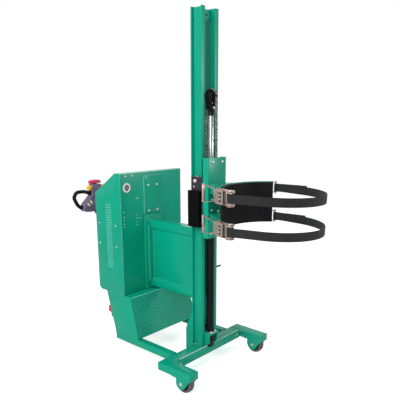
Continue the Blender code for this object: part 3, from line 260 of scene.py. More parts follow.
def webbingMaterial(name, colour, pale):
    # Woven webbing: rows across and warp lines along, read from the strap's own UV in millimetres
    material, tree, shader = newMaterial(name, Roughness=0.82, Sheen_Weight=0.08, Sheen_Roughness=0.5,
                                         Specular_IOR_Level=0.25)
    parts = apart(tree, addNode(tree, "UVMap", uv_map="strapLength").outputs[0])
    along = mathNode(tree, "SINE", times(tree, parts["X"], 2 * pi / weave["pitch"]))
    across = mathNode(tree, "SINE", times(tree, parts["Y"], 2 * pi / weave["warp"]))
    woven = times(tree, along, across)
    place = objectSpace(tree)
    fuzz = mathNode(tree, "ADD", woven, noiseAt(tree, place, 900.0, 2.0))
    shade = mixColour(tree, times(tree, fuzz, 0.5, clamp=True), colour, pale)
    edge = mathNode(tree, "ABSOLUTE", mathNode(tree, "SUBTRACT", parts["Y"], weave["middle"]))
    selvedge = times(tree, ramp(tree, edge, *weave["selvedge"]), 0.5)
    shade = mixColour(tree, selvedge, shade, tuple(c * 0.5 for c in colour))
    shade = mixColour(tree, times(tree, ramp(tree, noiseAt(tree, place, 14.0, 4.0), 0.5, 0.72), 0.35), shade, pale)
    height = scaled(tree, woven, 0.5, mathNode(tree, "ABSOLUTE", across))
    relief = addNode(tree, "Bump", Strength=0.5, Distance=0.0006, Height=height).outputs["Normal"]
    feedNamed(tree, shader, {"Base Color": shade, "Normal": relief})
    return material


green, deepGreen, chipped = (0.002, 0.375, 0.24), (0.002, 0.335, 0.21), (0.3, 0.7, 0.58)
greenPaint = paintMaterial("greenPaint", green, deepGreen, (0.12, 0.5, 0.37), 0.25, 0.42, dusty=0.1)
# Lighter green for the ballast's ridge tips: a painted highlight
ridgeHighlightPaint = paintMaterial("ridgeHighlightPaint", (0.09, 0.56, 0.42), (0.07, 0.52, 0.38), (0.2, 0.65, 0.5), 0.3, 0.3, 0.002,
                           0.02)
# Lighter green for the louvre hoods' outer faces: a painted highlight
louvreHighlightPaint = paintMaterial("louvreHighlightPaint", (0.08, 0.52, 0.39), (0.06, 0.48, 0.35), chipped, 0.3, 0.3, 0.002, 0.02)
# Strong pale edge wear: partly real wear, partly a painted highlight on the louvre lips and housing edges
housingPaint = paintMaterial("housingPaint", green, deepGreen, chipped, 0.22, 0.95, 0.005, 0.04)
# Pale green for the crossbeam lip's top and the housing's top front bend: a painted highlight
scuffedPaint = paintMaterial("scuffedPaint", (0.55, 0.7, 0.64), (0.3, 0.52, 0.44), (0.8, 0.84, 0.82), 0.3, 0.6,
                             dusty=0.05)
blackPaint = paintMaterial("blackPaint", (0.004, 0.004, 0.005), (0.007, 0.007, 0.008), (0.06, 0.06, 0.06), 0.34, 0.36,
                           0.002, 0.04)
slatePaint = paintMaterial("slatePaint", (0.026, 0.024, 0.03), (0.032, 0.03, 0.036), (0.1, 0.1, 0.1), 0.5, 0.3, 0.002,
                           0.06)
blackRubber = mouldedMaterial("blackRubber", rubber, (0.005, 0.005, 0.006), (0.016, 0.016, 0.018), 0.55, 0.14)
guardBlack = mouldedMaterial("guardBlack", rubber, (0.0015, 0.0017, 0.002), (0.005, 0.005, 0.006), 0.6, 0.045)
greyTyre = mouldedMaterial("greyTyre", rubber, (0.105, 0.1, 0.115), (0.19, 0.18, 0.185), 0.5)
leadRed = mouldedMaterial("leadRed", rubber, (0.5, 0.012, 0.02), (0.6, 0.08, 0.09), 0.42)
steel = metalMaterial("steel", (0.52, 0.52, 0.53), (0.3, 0.29, 0.27), 0.28)
zinc = metalMaterial("zinc", (0.72, 0.71, 0.69), (0.45, 0.42, 0.4), 0.26)
yellowZinc = metalMaterial("yellowZinc", (0.52, 0.33, 0.24), (0.28, 0.12, 0.09), 0.3)
handleZinc = metalMaterial("handleZinc", (0.6, 0.47, 0.43), (0.36, 0.24, 0.21), 0.32)
chrome = metalMaterial("chrome", (0.33, 0.335, 0.35), (0.24, 0.24, 0.25), 0.07, 900.0)
chainSteel = metalMaterial("chainSteel", (0.3, 0.29, 0.28), (0.05, 0.045, 0.04), 0.28)
webbing = webbingMaterial("webbing", (0.012, 0.012, 0.013), (0.04, 0.04, 0.042))
headPlastic = mouldedMaterial("headPlastic", plastic, (0.155, 0.115, 0.215), (0.23, 0.18, 0.29), 0.42)
redPlastic = mouldedMaterial("redPlastic", plastic, (0.6, 0.012, 0.075), (0.7, 0.1, 0.17), 0.3)
yellowPlastic = mouldedMaterial("yellowPlastic", plastic, (1.0, 0.55, 0.02), (1.0, 0.72, 0.2), 0.34)
creamPlastic = mouldedMaterial("creamPlastic", plastic, (1.0, 0.82, 0.55), (1.0, 0.86, 0.62), 0.4)
dialFace = mouldedMaterial("dialFace", plastic, (0.1, 0.085, 0.12), (0.16, 0.13, 0.18), 0.4)
dialPlastic = mouldedMaterial("dialPlastic", plastic, (0.78, 0.79, 0.78), (0.6, 0.6, 0.6), 0.35)

slotMaterials = {"green_paint": greenPaint, "black_paint": blackPaint, "black_rubber": blackRubber,
                 "grey_tyre": greyTyre, "steel": steel, "zinc": zinc, "gold_zinc": yellowZinc, "chrome": chrome,
                 "chain_steel": chainSteel, "webbing": webbing, "head_plastic": headPlastic,
                 "red_plastic": redPlastic, "yellow_plastic": yellowPlastic, "cream_plastic": creamPlastic,
                 "gauge_ring": dialPlastic}
slotNames = {material.name: slot for slot, material in slotMaterials.items()}
slotNames.update(housingPaint="green_paint", scuffedPaint="green_paint", slatePaint="black_paint",
                 guardBlack="black_paint", leadRed="black_rubber", handleZinc="zinc", dialFace="head_plastic")
for part in frame["record"]["subparts"]:
    node = frame["nodes"][part["node"]]
    if not node.material_slots:
        node.data.materials.append(None)
    for each in node.material_slots:
        each.material = slotMaterials[part["material_slot"]]
print("materials ready")


# Making pieces

def finishPiece(name, bm, body, materials, replaced=(), smooth=35):
    bmesh.ops.recalc_face_normals(bm, faces=bm.faces)
    mesh = bpy.data.meshes.new(name)
    bm.to_mesh(mesh)
    bm.free()
    materials = materials if isinstance(materials, tuple) else (materials,)
    for material in materials:
        mesh.materials.append(material)
    mesh.shade_smooth()
    mesh.set_sharp_from_angle(angle=radians(smooth))
    piece = bpy.data.objects.new(name, mesh)
    scene.collection.objects.link(piece)
    if body:
        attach(piece, body)
    if replaced:
        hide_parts(*replaced)
    return piece


def facing(point, direction=(1, 0, 0)):
    return Matrix.Translation(point) @ Vector(direction).to_track_quat("Z", "Y").to_matrix().to_4x4()


def bridge(bm, rings):
    # Walls from ring to ring, and a face on each end
    count = len(rings[0])
    for low, high in zip(rings, rings[1:]):
        for i in range(count):
            j = (i + 1) % count
            bm.faces.new((low[i], low[j], high[j], high[i]))
    bm.faces.new(list(reversed(rings[0])))
    bm.faces.new(rings[-1])


def mirrored(profile):
    # The lower half of a turned profile, and the same upside down above it
    return profile + [(radius, -height) for radius, height in reversed(profile)]


def addLathe(bm, place, profile, steps=32):
    # Rows of (radius, height) in mm, up the outer side; one that ends where it starts is a ring
    looped = profile[0] == profile[-1] and profile[0][0] > 1e-6
    rings = []
    for radius, height in profile[:-1] if looped else profile:
        if radius < 1e-6:
            rings.append([bm.verts.new(place @ Vector((0, 0, height / 1000)))])
        else:
            rings.append([bm.verts.new(place @ Vector((x / 1000, y / 1000, height / 1000)))
                          for x, y in circlePoints(0, 0, radius, steps)])
    if looped:
        rings.append(rings[0])
    for low, high in zip(rings, rings[1:]):
        for i in range(steps):
            j = (i + 1) % steps
            if len(low) == 1 and len(high) == 1:
                continue
            if len(low) == 1:
                bm.faces.new((low[0], high[j], high[i]))
            elif len(high) == 1:
                bm.faces.new((low[i], low[j], high[0]))
            else:
                bm.faces.new((low[i], low[j], high[j], high[i]))
    for ring in () if looped else (rings[0][::-1], rings[-1]):
        if len(ring) > 1:
            bm.faces.new(ring)


def addRing(bm, place, profile, steps):
    addLathe(bm, place, profile + profile[:1], steps)


def addBolt(bm, point, direction, size=8.0, washer=True, socket=False):
    # Head across size mm, on a washer, standing on point along direction
    place = facing(point, direction)
    lift = size * 0.18 if washer else 0.0
    if washer:
        addLathe(bm, place, [(0, 0), (size * 1.12, 0), (size * 1.15, lift * 0.5), (size * 1.08, lift), (0, lift)], 20)
    height = size * 0.62
    if socket:
        rim = lift + height * 1.15
        cap = [(0, lift), (size * 0.8, lift), (size * 0.84, lift + height), (size * 0.74, rim), (size * 0.42, rim),
               (size * 0.4, lift + height * 0.5), (0, lift + height * 0.45)]
        addLathe(bm, place, cap, 16)
        return
    corners = [[], []]
    top = []
    for i in range(6):
        angle = pi / 3 * i
        for share, level, row in ((0.92, lift, corners[0]), (0.92, lift + height * 0.85, corners[1]),
                                  (0.76, lift + height, top)):
            reach = size * share
            row.append(bm.verts.new(inPlace(place, reach * cos(angle), reach * sin(angle), level)))
    for i in range(6):
        j = (i + 1) % 6
        bm.faces.new((corners[0][i], corners[0][j], corners[1][j], corners[1][i]))
        bm.faces.new((corners[1][i], corners[1][j], top[j], top[i]))
    bm.faces.new(top)
    bm.faces.new(list(reversed(corners[0])))


def addDome(bm, point, direction, size=5.0):
    profile = [(0, -0.2), (size, -0.2), (size * 0.96, size * 0.22), (size * 0.72, size * 0.45),
               (size * 0.36, size * 0.58), (0, size * 0.62)]
    addLathe(bm, facing(point, direction), profile, 16)


def between(a, b, c, d, t):  # the curve from b to c, at the share t
    return 0.5 * (2 * b + (c - a) * t + (2 * a - 5 * b + 4 * c - d) * t ** 2 + (3 * b - a - 3 * c + d) * t ** 3)


def smoothPath(points, steps):
    ends = [2 * points[0] - points[1], *points, 2 * points[-1] - points[-2]]
    result = []
    for i in range(1, len(ends) - 2):
        result += [between(*ends[i - 1:i + 3], j / steps) for j in range(steps)]
    return result + [points[-1]]


def walk(path):
    # Length so far, point and direction, for every point of a path
    length = 0.0
    for i, point in enumerate(path):
        if i:
            length += (point - path[i - 1]).length
        yield length, point, (path[min(i + 1, len(path) - 1)] - path[max(i - 1, 0)]).normalized()


def addTube(bm, path, radius, sides, wave=None):
    # A round tube along path; wave(length in m) scales the radius
    normal = (path[1] - path[0]).orthogonal().normalized()
    rings = []
    for length, point, tangent in walk(path):
        normal = (normal - tangent * normal.dot(tangent)).normalized()
        side = tangent.cross(normal)
        r = radius * (wave(length) if wave else 1.0)
        rings.append([bm.verts.new(point + (normal * x + side * y) * r) for x, y in circlePoints(0, 0, 1, sides)])
    bridge(bm, rings)


def addPrism(bm, outline, place, low, high, holes=()):
    # A flat outline in mm in the place's XY plane, from the lower of two levels to the higher
    low, high = sorted((low, high))
    edges = []
    bottom = []
    for loop in (outline, *holes):
        ring = [bm.verts.new(inPlace(place, x, y, low)) for x, y in loop]
        bottom.append(ring)
        edges += [bm.edges.new(pair) for pair in zip(ring, ring[1:] + ring[:1])]
    if holes:
        flat = bmesh.ops.triangle_fill(bm, use_beauty=True, edges=edges)["geom"]
        faces = [g for g in flat if isinstance(g, bmesh.types.BMFace)]
    else:
        faces = [bm.faces.new(bottom[0])]
    raised = bmesh.ops.extrude_face_region(bm, geom=faces)["geom"]
    up = place.to_3x3() @ Vector((0, 0, (high - low) / 1000))
    bmesh.ops.translate(bm, vec=up, verts=[g for g in raised if isinstance(g, bmesh.types.BMVert)])


def circlePoints(x, y, radius, count=20):
    angles = [2 * pi * i / count for i in range(count)]
    return [(x + radius * cos(a), y + radius * sin(a)) for a in angles]


def roundCorners(points, radius, steps=4):
    # Each corner of a closed outline turned into an arc; radius is one value or one per corner
    result = []
    count = len(points)
    for i, here in enumerate(points):
        r = radius[i] if isinstance(radius, (list, tuple)) else radius
        here = Vector(here)
        before, after = Vector(points[i - 1]) - here, Vector(points[(i + 1) % count]) - here
        angle = before.angle(after)
        if r <= 0 or angle > pi - 0.02:
            result.append(tuple(here))
            continue
        reach = min(r / tan(angle / 2), before.length * 0.49, after.length * 0.49)
        start, end = here + before.normalized() * reach, here + after.normalized() * reach
        for k in range(steps + 1):
            t = k / steps
            middle = here * 0.86 + (start + end) * 0.07
            result.append(tuple((1 - t) ** 2 * start + 2 * t * (1 - t) * middle + t ** 2 * end))
    return result


def rectangle(x0, y0, x1, y1, radius=0.0, steps=4):
    points = [(x0, y0), (x1, y0), (x1, y1), (x0, y1)]
    return roundCorners(points, radius, steps) if radius else points


def upright(x, y):
    return Matrix.Translation(at(x, y, 0))


def inPlace(place, x, y, z):
    return place @ (Vector((x, y, z)) / 1000)


standUp = Matrix(((1, 0, 0), (0, 0, -1), (0, 1, 0))).to_4x4()
swapYZ = Matrix(((1, 0, 0), (0, 0, 1), (0, 1, 0))).to_4x4()
acrossZ = Matrix.Translation(at(0, 0, 0))  # outline in X and Y, thickness along Z
acrossX = acrossZ @ Matrix(((0, 0, 1), (1, 0, 0), (0, 1, 0))).to_4x4()  # outline in Y and Z, thickness along X


def acrossY(y):  # outline in X and Z, thickness along -Y
    return Matrix.Translation(at(0, y, 0)) @ standUp


def softEdges(bm, width, angle, segments):
    # Rounds every sharp edge of what bm holds so far; width in mm
    bmesh.ops.recalc_face_normals(bm, faces=bm.faces)
    sharp = [e for e in bm.edges if len(e.link_faces) == 2 and e.calc_face_angle(0) > radians(angle)]
    bmesh.ops.bevel(bm, geom=sharp, offset=width / 1000, segments=segments, affect="EDGES", profile=0.5,
                    clamp_overlap=True)


def merged(bm, extra):
    # Puts the faces of extra into bm, so that each can be softened by itself
    mesh = bpy.data.meshes.new("part")
    extra.to_mesh(mesh)
    extra.free()
    bm.from_mesh(mesh)
    bpy.data.meshes.remove(mesh)


def addSoftPrism(bm, outline, place, low, high, soft=0.6, holes=(), angle=50, segments=2):
    extra = bmesh.new()
    addPrism(extra, outline, place, low, high, holes)
    softEdges(extra, soft, angle, segments)
    merged(bm, extra)


def weldWave(length):
    return 1 + 0.16 * sin(length * 2 * pi / 0.0075) + 0.06 * sin(length * 410)


def addWeld(bm, points, radius):
    # A bead with the ripple of its passes, along points in the machine's frame
    points = [at(*point) for point in points]
    path = []
    for a, b in zip(points, points[1:]):
        count = max(2, int((b - a).length / 0.0022))
        path += [a.lerp(b, i / count) for i in range(count)]
    path.append(points[-1])
    addTube(bm, path, radius / 1000, 8, weldWave)


def addBeads(bm, rows, sides=(-1, 1)):
    # Straight beads, each (x, y, z, x, y, z, radius), on both sides unless told otherwise
    for side in sides:
        for x0, y0, z0, x1, y1, z1, radius in rows:
            addWeld(bm, [(side * x0, y0, z0), (side * x1, y1, z1)], radius)


# Chain: leaf plates and rollers on pins, one pitch after another

chain = {"pitch": 15.875, "plateHeight": 9.0, "waist": 6.2, "plate": 1.7, "inner": 5.6, "outer": 7.6, "pinReach": 9.4,
         "sheaveY": -86.0, "sheaveZ": 1768.0, "radius": 41.0, "rearFoot": 1292.6, "frontFoot": 1330.4}


def linkOutline(pitch):
    r, waist = chain["plateHeight"] / 2, chain["waist"] / 2
    points = []
    for i in range(7):
        angle = radians(100 + 160 * i / 6)
        points.append((r * cos(angle), r * sin(angle)))
    points.append((pitch * 0.5, -waist))
    for i in range(7):
        angle = radians(-80 + 160 * i / 6)
        points.append((pitch + r * cos(angle), r * sin(angle)))
    points.append((pitch * 0.5, waist))
    return points


def addLinks(bm, points, first=0):
    # points are pin centres in the machine's YZ plane
    for i, (a, b) in enumerate(zip(points, points[1:])):
        along = Vector((0, b[0] - a[0], b[1] - a[1]))
        pitch = along.length
        along.normalize()
        side = Vector((1, 0, 0))
        turn = Matrix((along, side.cross(along), side)).transposed().to_4x4()
        place = Matrix.Translation(at(0, a[0], a[1])) @ turn
        reach = chain["outer"] if (i + first) % 2 else chain["inner"]
        outline = linkOutline(pitch)
        for low in (reach - chain["plate"], -reach):
            addPrism(bm, outline, place, low, low + chain["plate"])
        centre = facing(at(0, a[0], a[1]))
        addLathe(bm, centre, [(0, -chain["pinReach"]), (2.2, -chain["pinReach"]), (2.4, -chain["pinReach"] + 0.6),
                              (2.4, chain["pinReach"] - 0.6), (2.2, chain["pinReach"]), (0, chain["pinReach"])], 10)
        addLathe(bm, centre, [(0, -3.8), (3.9, -3.8), (3.9, 3.8), (0, 3.8)], 14)


def strandPoints(y, low, high):
    count = max(2, round((high - low) / chain["pitch"]))
    return [(y, low + (high - low) * i / count) for i in range(count + 1)]


def buildChain():
    top = chain["sheaveZ"]
    rearY = chain["sheaveY"] + chain["radius"]
    frontY = chain["sheaveY"] - chain["radius"]
    bm = bmesh.new()
    addLinks(bm, strandPoints(rearY, chain["rearFoot"] + 5, top - 0.4))
    rear = finishPiece("chainRear", bm, None, chainSteel, ["chain_rear"])
    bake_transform(rear)
    bm = bmesh.new()
    addLinks(bm, strandPoints(frontY, chain["frontFoot"] + 5, top - 0.4), 1)
    front = finishPiece("chainFront", bm, None, chainSteel, ["chain_front"])
    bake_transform(front)
    bm = bmesh.new()
    arcCount = 8
    ring = [(chain["sheaveY"] + chain["radius"] * cos(pi * i / arcCount),
             top + chain["radius"] * sin(pi * i / arcCount))
            for i in range(arcCount + 1)]
    addLinks(bm, ring)
    finishPiece("chainWrap", bm, "rod", chainSteel, ["chain_wrap"])


# Lift cylinder: tube, gland, chromed rod

cylinder = {"y": -86.0, "foot": 252.0, "portZ": 278.0, "plateHalf": 30.0, "ramRadius": 16.0, "ramTop": 1690.0}


def buildCylinder():
    c = cylinder
    up = upright(0, c["y"])
    bm = bmesh.new()
    tube = [(0, 252), (23, 252), (25.5, 255), (25.5, 1252), (26.5, 1254), (28.5, 1256), (28.5, 1272), (27.6, 1274),
            (28.5, 1276), (28.5, 1292), (26, 1296), (20, 1296), (18, 1293.5), (16.6, 1293), (0, 1293)]
    addLathe(bm, up, tube, 48)
    addLathe(bm, up, [(0, 244), (29, 244), (30, 245), (30, 251), (28, c["foot"]), (0, c["foot"])], 40)
    port = facing(at(0, c["y"], c["portZ"]), (0, 1, 0))
    addLathe(bm, port, [(0, 20), (9, 20), (9, 34), (11, 34), (11, 39.5), (0, 39.5)], 12)
    finishPiece("liftCylinder", bm, "chassis", blackPaint, ["cylinder_tube"])
    bm = bmesh.new()
    half = c["plateHalf"]
    addSoftPrism(bm, rectangle(-half, c["y"] - half, half, c["y"] + half, 4, 3), acrossZ, 244, 251, 1.2)
    finishPiece("footPlate", bm, "chassis", zinc)
    bm = bmesh.new()
    r, top = c["ramRadius"], c["ramTop"]
    addLathe(bm, up, [(0, 650), (r - 1, 650), (r, 652), (r, top - 2), (r - 1, top), (0, top)], 48)
    finishPiece("liftRam", bm, "rod", chrome, ["lift_rod"])


# Mast: rolled channels with filleted roots, gussets behind, welded at the foot

mast = {"web": 45.0, "face": 52.0, "outer": 77.0, "front": -76.0, "rear": 12.0, "foot": 148.3, "top": 2265.0,
        "toe": 9.0, "root": 11.0}


def mastProfile(side):
    m = mast
    web, face, outer, front, rear = m["web"], m["face"], m["outer"], m["front"], m["rear"]
    points = [(web, front), (outer, front), (outer, front + m["toe"]), (face, front + m["root"]),
              (face, rear - m["root"]), (outer, rear - m["toe"]), (outer, rear), (web, rear)]
    outline = roundCorners(points, [1.5, 2.5, 4.5, 9.0, 9.0, 4.5, 2.5, 1.5], 5)
    return [(side * x, y) for x, y in outline]


def buildMast():
    m = mast
    for side, word in bothSides:
        bm = bmesh.new()
        addPrism(bm, mastProfile(side), acrossZ, m["foot"], m["top"])
        profile = [(m["rear"] - 1, 392), (68, 252), (68, 95), (0.3, 95), (0.3, 149), (m["rear"] - 1, 149)]
        addSoftPrism(bm, roundCorners(profile, [2, 6, 3, 0, 0, 0], 3), acrossX, side * 62, side * 74, 1.0)
        addBeads(bm, ((61.5, 12.6, 392, 61.5, 12.6, 150, 3.0), (74.4, 12.6, 386, 74.4, 12.6, 150, 2.6)), (side,))
        foot = mastProfile(side)
        corners = [(x, y, 149.5) for x, y in foot + foot[:1]]
        addWeld(bm, corners, 2.6)
        finishPiece("mast" + word.capitalize(), bm, "chassis", greenPaint,
                    ["mast_web_" + word, "mast_flange_front_" + word, "mast_flange_rear_" + word], 30)
    bm = bmesh.new()
    hole = circlePoints(0, 2228, 9, 20)
    addSoftPrism(bm, rectangle(-44.7, 2205, 44.7, 2255, 2, 2), acrossY(-34), 0, 12, 0.8, [hole])
    addBeads(bm, ((44.4, -46.4, 2206, 44.4, -46.4, 2254, 2.2),))
    finishPiece("mastTopTie", bm, "chassis", greenPaint, ["mast_top_tie"], 30)


# Yoke and sheave at the head of the rod

def buildYoke():
    y, z = chain["sheaveY"], chain["sheaveZ"]
    bm = bmesh.new()
    addSoftPrism(bm, rectangle(-24, y - 21, 24, y + 21, 4, 3), acrossZ, 1690.3, 1712, 1.2)
    for side in (-1, 1):
        outline = [(y - 21, 1700), (y + 21, 1700)]
        outline += [(y + 24 * cos(pi * i / 14), z + 24 * sin(pi * i / 14)) for i in range(15)]
        addSoftPrism(bm, outline, acrossX, side * 15.2, side * 23.8, 1.0)
    pin = facing(at(0, y, z))
    addLathe(bm, pin, mirrored([(0, -29), (8, -29), (9, -28)]), 24)
    for side in (-1, 1):
        clip = [(9, side * 26.4), (11.2, side * 26.4), (11.2, side * 25.2), (9, side * 25.2)]
        addRing(bm, pin, clip, 20)
    collar = [(16.3, 1655), (18.6, 1655), (19.4, 1656), (19.4, 1672), (18.4, 1674), (19.4, 1676), (19.4, 1689),
              (18.6, 1690), (16.3, 1690)]
    addRing(bm, upright(0, y), collar, 36)
    finishPiece("sheaveYoke", bm, "rod", blackPaint, ["sheave_yoke"], 30)
    bm = bmesh.new()
    addBolt(bm, at(0, y - 21, 1701), (0, -1, 0), 7)
    addBolt(bm, at(14, y - 21, 1727), (0, -1, 0), 3.2)
    addBolt(bm, at(-14, y - 21, 1727), (0, -1, 0), 3.2)
    finishPiece("yokeBolts", bm, "rod", zinc)
    bm = bmesh.new()
    groove = mirrored([(9.4, -14), (14, -14), (15, -13), (16, -10), (33, -10), (35, -12.5), (40.8, -13.6),
                       (42.2, -12.6), (42.2, -12), (36.4, -11.5), (36.1, -10)])
    addRing(bm, pin, groove, 56)
    for i in range(6):
        angle = pi / 3 * i + 0.3
        hub = at(0, y + 25 * cos(angle), z + 25 * sin(angle))
        for side in (-1, 1):
            boss = [(0, 9.6), (4.2, 9.6), (4.2, 10.8), (3.4, 10.8), (3.0, 10.1), (0, 10.1)]
            addLathe(bm, facing(hub, (side, 0, 0)), boss, 16)
    finishPiece("sheave", bm, "sheave", blackPaint, ["chain_sheave"], 30)


# Wheels

frontWheel = {"radius": 64, "width": 44, "x": 369.5, "y": -201, "z": 64}


def buildFrontWheels():
    for side, word in bothSides:
        place = facing(at(side * frontWheel["x"], frontWheel["y"], frontWheel["z"]))
        half, r = frontWheel["width"] / 2, frontWheel["radius"]
        bm = bmesh.new()
        tyre = mirrored([(45.5, 1 - half), (48, -half), (r - 9, 0.5 - half), (r - 4, 3 - half), (r - 1, 8 - half),
                         (r, 14 - half)])
        addRing(bm, place, tyre, 56)
        finishPiece("frontTyre" + word.capitalize(), bm, word + "_front_wheel", greyTyre,
                    ["front_wheel_" + word])
        bm = bmesh.new()
        hub = mirrored([(8.4, -27), (12, -28), (17, -27), (18, -24), (18.5, -14), (24, -12), (38, -13), (41, -18),
                        (45.4, -20)])
        addRing(bm, place, hub, 40)
        finishPiece("frontHub" + word.capitalize(), bm, word + "_front_wheel", blackPaint)


driveWheel = {"radius": 115, "width": 74, "y": 765}


def buildDriveWheel():
    place = facing(at(0, driveWheel["y"], driveWheel["radius"]))
    half, r = driveWheel["width"] / 2, driveWheel["radius"]
    bm = bmesh.new()
    tyre = mirrored([(91.5, 1 - half), (94, -half), (r - 8, -half), (r - 3, 2.5 - half), (r, 8 - half)])
    addRing(bm, place, tyre, 72)
    finishPiece("driveTyre", bm, "traction_wheel", greyTyre, ["drive_wheel"])
    bm = bmesh.new()
    hub = mirrored([(15.4, -36), (38, -36.5), (42, -34), (44, -27), (60, -26), (84, -27), (88, -30), (91.4, -35)])
    addRing(bm, place, hub, 48)
    for y, z in circlePoints(driveWheel["y"], r, 66, 6):
        for side in (-1, 1):
            addBolt(bm, at(side * 26.4, y, z), (side, 0, 0), 8.5)
    finishPiece("driveHub", bm, "traction_wheel", blackPaint)


# Ratchets: plated frame, bent handle, toothed spool with the webbing wound on it

ratchet = {"half": 38.0, "plate": 3.0, "reach": 102.2, "handle": 268.0, "waist": 150.0, "waistHalf": 31.0,
           "gripHalf": 48.0, "shaft": 8.0, "roll": 19.0}


def ratchetPlace(z):
    # Local X runs from the spool to the lug, local Y away from the drum
    spool = onDrum(strap["drumRadius"] + strap["spoolDistance"], radians(strap["spoolAngle"]))
    lug = onDrum(strap["lugRadius"], radians(strap["lugAngle"]))
    along = (lug - spool).normalized()
    out = Vector((-along.y, along.x, 0))
    turn = Matrix((along, out, Vector((0, 0, 1)))).transposed().to_4x4()
    return Matrix.Translation(at(spool.x, spool.y, z)) @ turn


def polar(radius, start, end, count, centre=(0, 0)):
    angles = [radians(start + (end - start) * i / count) for i in range(count + 1)]
    return [(centre[0] + radius * cos(a), centre[1] + radius * sin(a)) for a in angles]


def buildRatchetFrame(place, word):
    r = ratchet
    bm = bmesh.new()
    outline = polar(24, 60, 100, 5) + polar(21, 104, 112, 2) + polar(24, 116, 150, 5) + polar(21, 154, 162, 2)
    outline += polar(24, 166, 300, 14) + polar(12, -90, 90, 10, (r["reach"], 0))
    holes = [circlePoints(0, 0, r["shaft"] + 0.4, 24)]
    slot = polar(4, -90, 90, 6, (66, 3)) + polar(4, 90, 270, 6, (44, 3))
    for low in (r["half"] - r["plate"], -r["half"]):
        addSoftPrism(bm, outline, place, low, low + r["plate"], 0.5, holes + [slot], 60)
    # folded web with two pressed ribs
    addSoftPrism(bm, rectangle(34, -11, r["reach"] - 16, -8), place, 1 - r["half"], r["half"] - 1, 0.6)
    for x in (48, 66):
        rib = [(x - 3, -8.2), (x + 3, -8.2), (x + 1.5, -6.2), (x - 1.5, -6.2)]
        addSoftPrism(bm, rib, place, -24, 24, 0.5)
    finishPiece("ratchetFrame" + word, bm, "carriage", yellowZinc, ["ratchet_frame_" + word.lower()], 30)
    bm = bmesh.new()  # locking slide with its spring, and the pin through the lug
    addSoftPrism(bm, [(25.5, -6), (30, -6), (33, -2), (33, 9), (28, 9), (25.5, 4)], place, -r["half"] - 1.2,
                 r["half"] + 1.2, 0.5)
    coil = [inPlace(place, 34 + i * 0.2, 3 + 2.6 * cos(i * 0.8), 2.6 * sin(i * 0.8)) for i in range(62)]
    addTube(bm, coil, 0.0006, 6)
    pin = place @ Matrix.Translation((r["reach"] / 1000, 0, 0))
    addLathe(bm, pin, [(0, -41.5), (4, -41.5), (7.5, -41), (8, -40), (8, -38.2), (5, -38.2), (5, 38.2), (8, 38.2),
                       (8, 40), (6.5, 42), (0, 42.5)], 20)
    finishPiece("ratchetLock" + word, bm, "carriage", zinc)


def buildRatchetHandle(place, word):
    r = ratchet
    low = r["half"] + 1.5
    bm = bmesh.new()
    ear = polar(22, 32, 76, 6) + polar(25.5, 80, 92, 2) + polar(22, 96, 328, 24)
    for base in (low, -low - r["plate"]):
        addSoftPrism(bm, ear, place, base, base + r["plate"], 0.5, [circlePoints(0, 0, r["shaft"] + 0.4, 24)], 60)
    line = [(17, low), (r["reach"] + 18, low), (r["waist"], r["waistHalf"]), (r["handle"] - 30, r["gripHalf"]),
            (r["handle"] + 8, r["gripHalf"])]
    turned = place @ swapYZ
    for side in (1, -1):
        outline = [(x, side * h) for x, h in line] + [(x, side * (h + r["plate"])) for x, h in reversed(line)]
        outline = roundCorners(outline, [0.8, 8, 14, 10, 1.2, 1.2, 12, 18, 10, 0.8], 4)
        addSoftPrism(bm, outline, turned, -9, 9, 0.7, (), 60)
    grip = place @ Matrix.Translation((r["handle"] / 1000, 0, 0))
    addLathe(bm, grip, mirrored([(0, -53), (4.5, -53), (5, -52.2), (5, -50.8), (7.5, -50.8), (9, -47.2)]), 28)
    addSoftPrism(bm, rectangle(144, -4, 158, 4), place, -32.5, 32.5, 0.8)
    addSoftPrism(bm, [(30, -5), (46, -5), (52, 2), (46, 8), (30, 8)], place, -low + 0.2, low - 0.2, 0.8)
    # slotted bridge plate between the arms, over the frame
    lying = place @ Matrix.Translation((0, 0.0225, 0)) @ standUp
    slots = [rectangle(58, z - 6, 84, z + 6, 4, 3) for z in (-21, 0, 21)] + [rectangle(92, -30, 98, 30, 2.5, 3)]
    addSoftPrism(bm, rectangle(44, 0.2 - low, 112, low - 0.2, 3), lying, 0, 3, 0.6, slots)
    finishPiece("ratchetHandle" + word, bm, word.lower() + "_handle", handleZinc,
                ["ratchet_handle_" + word.lower()], 30)


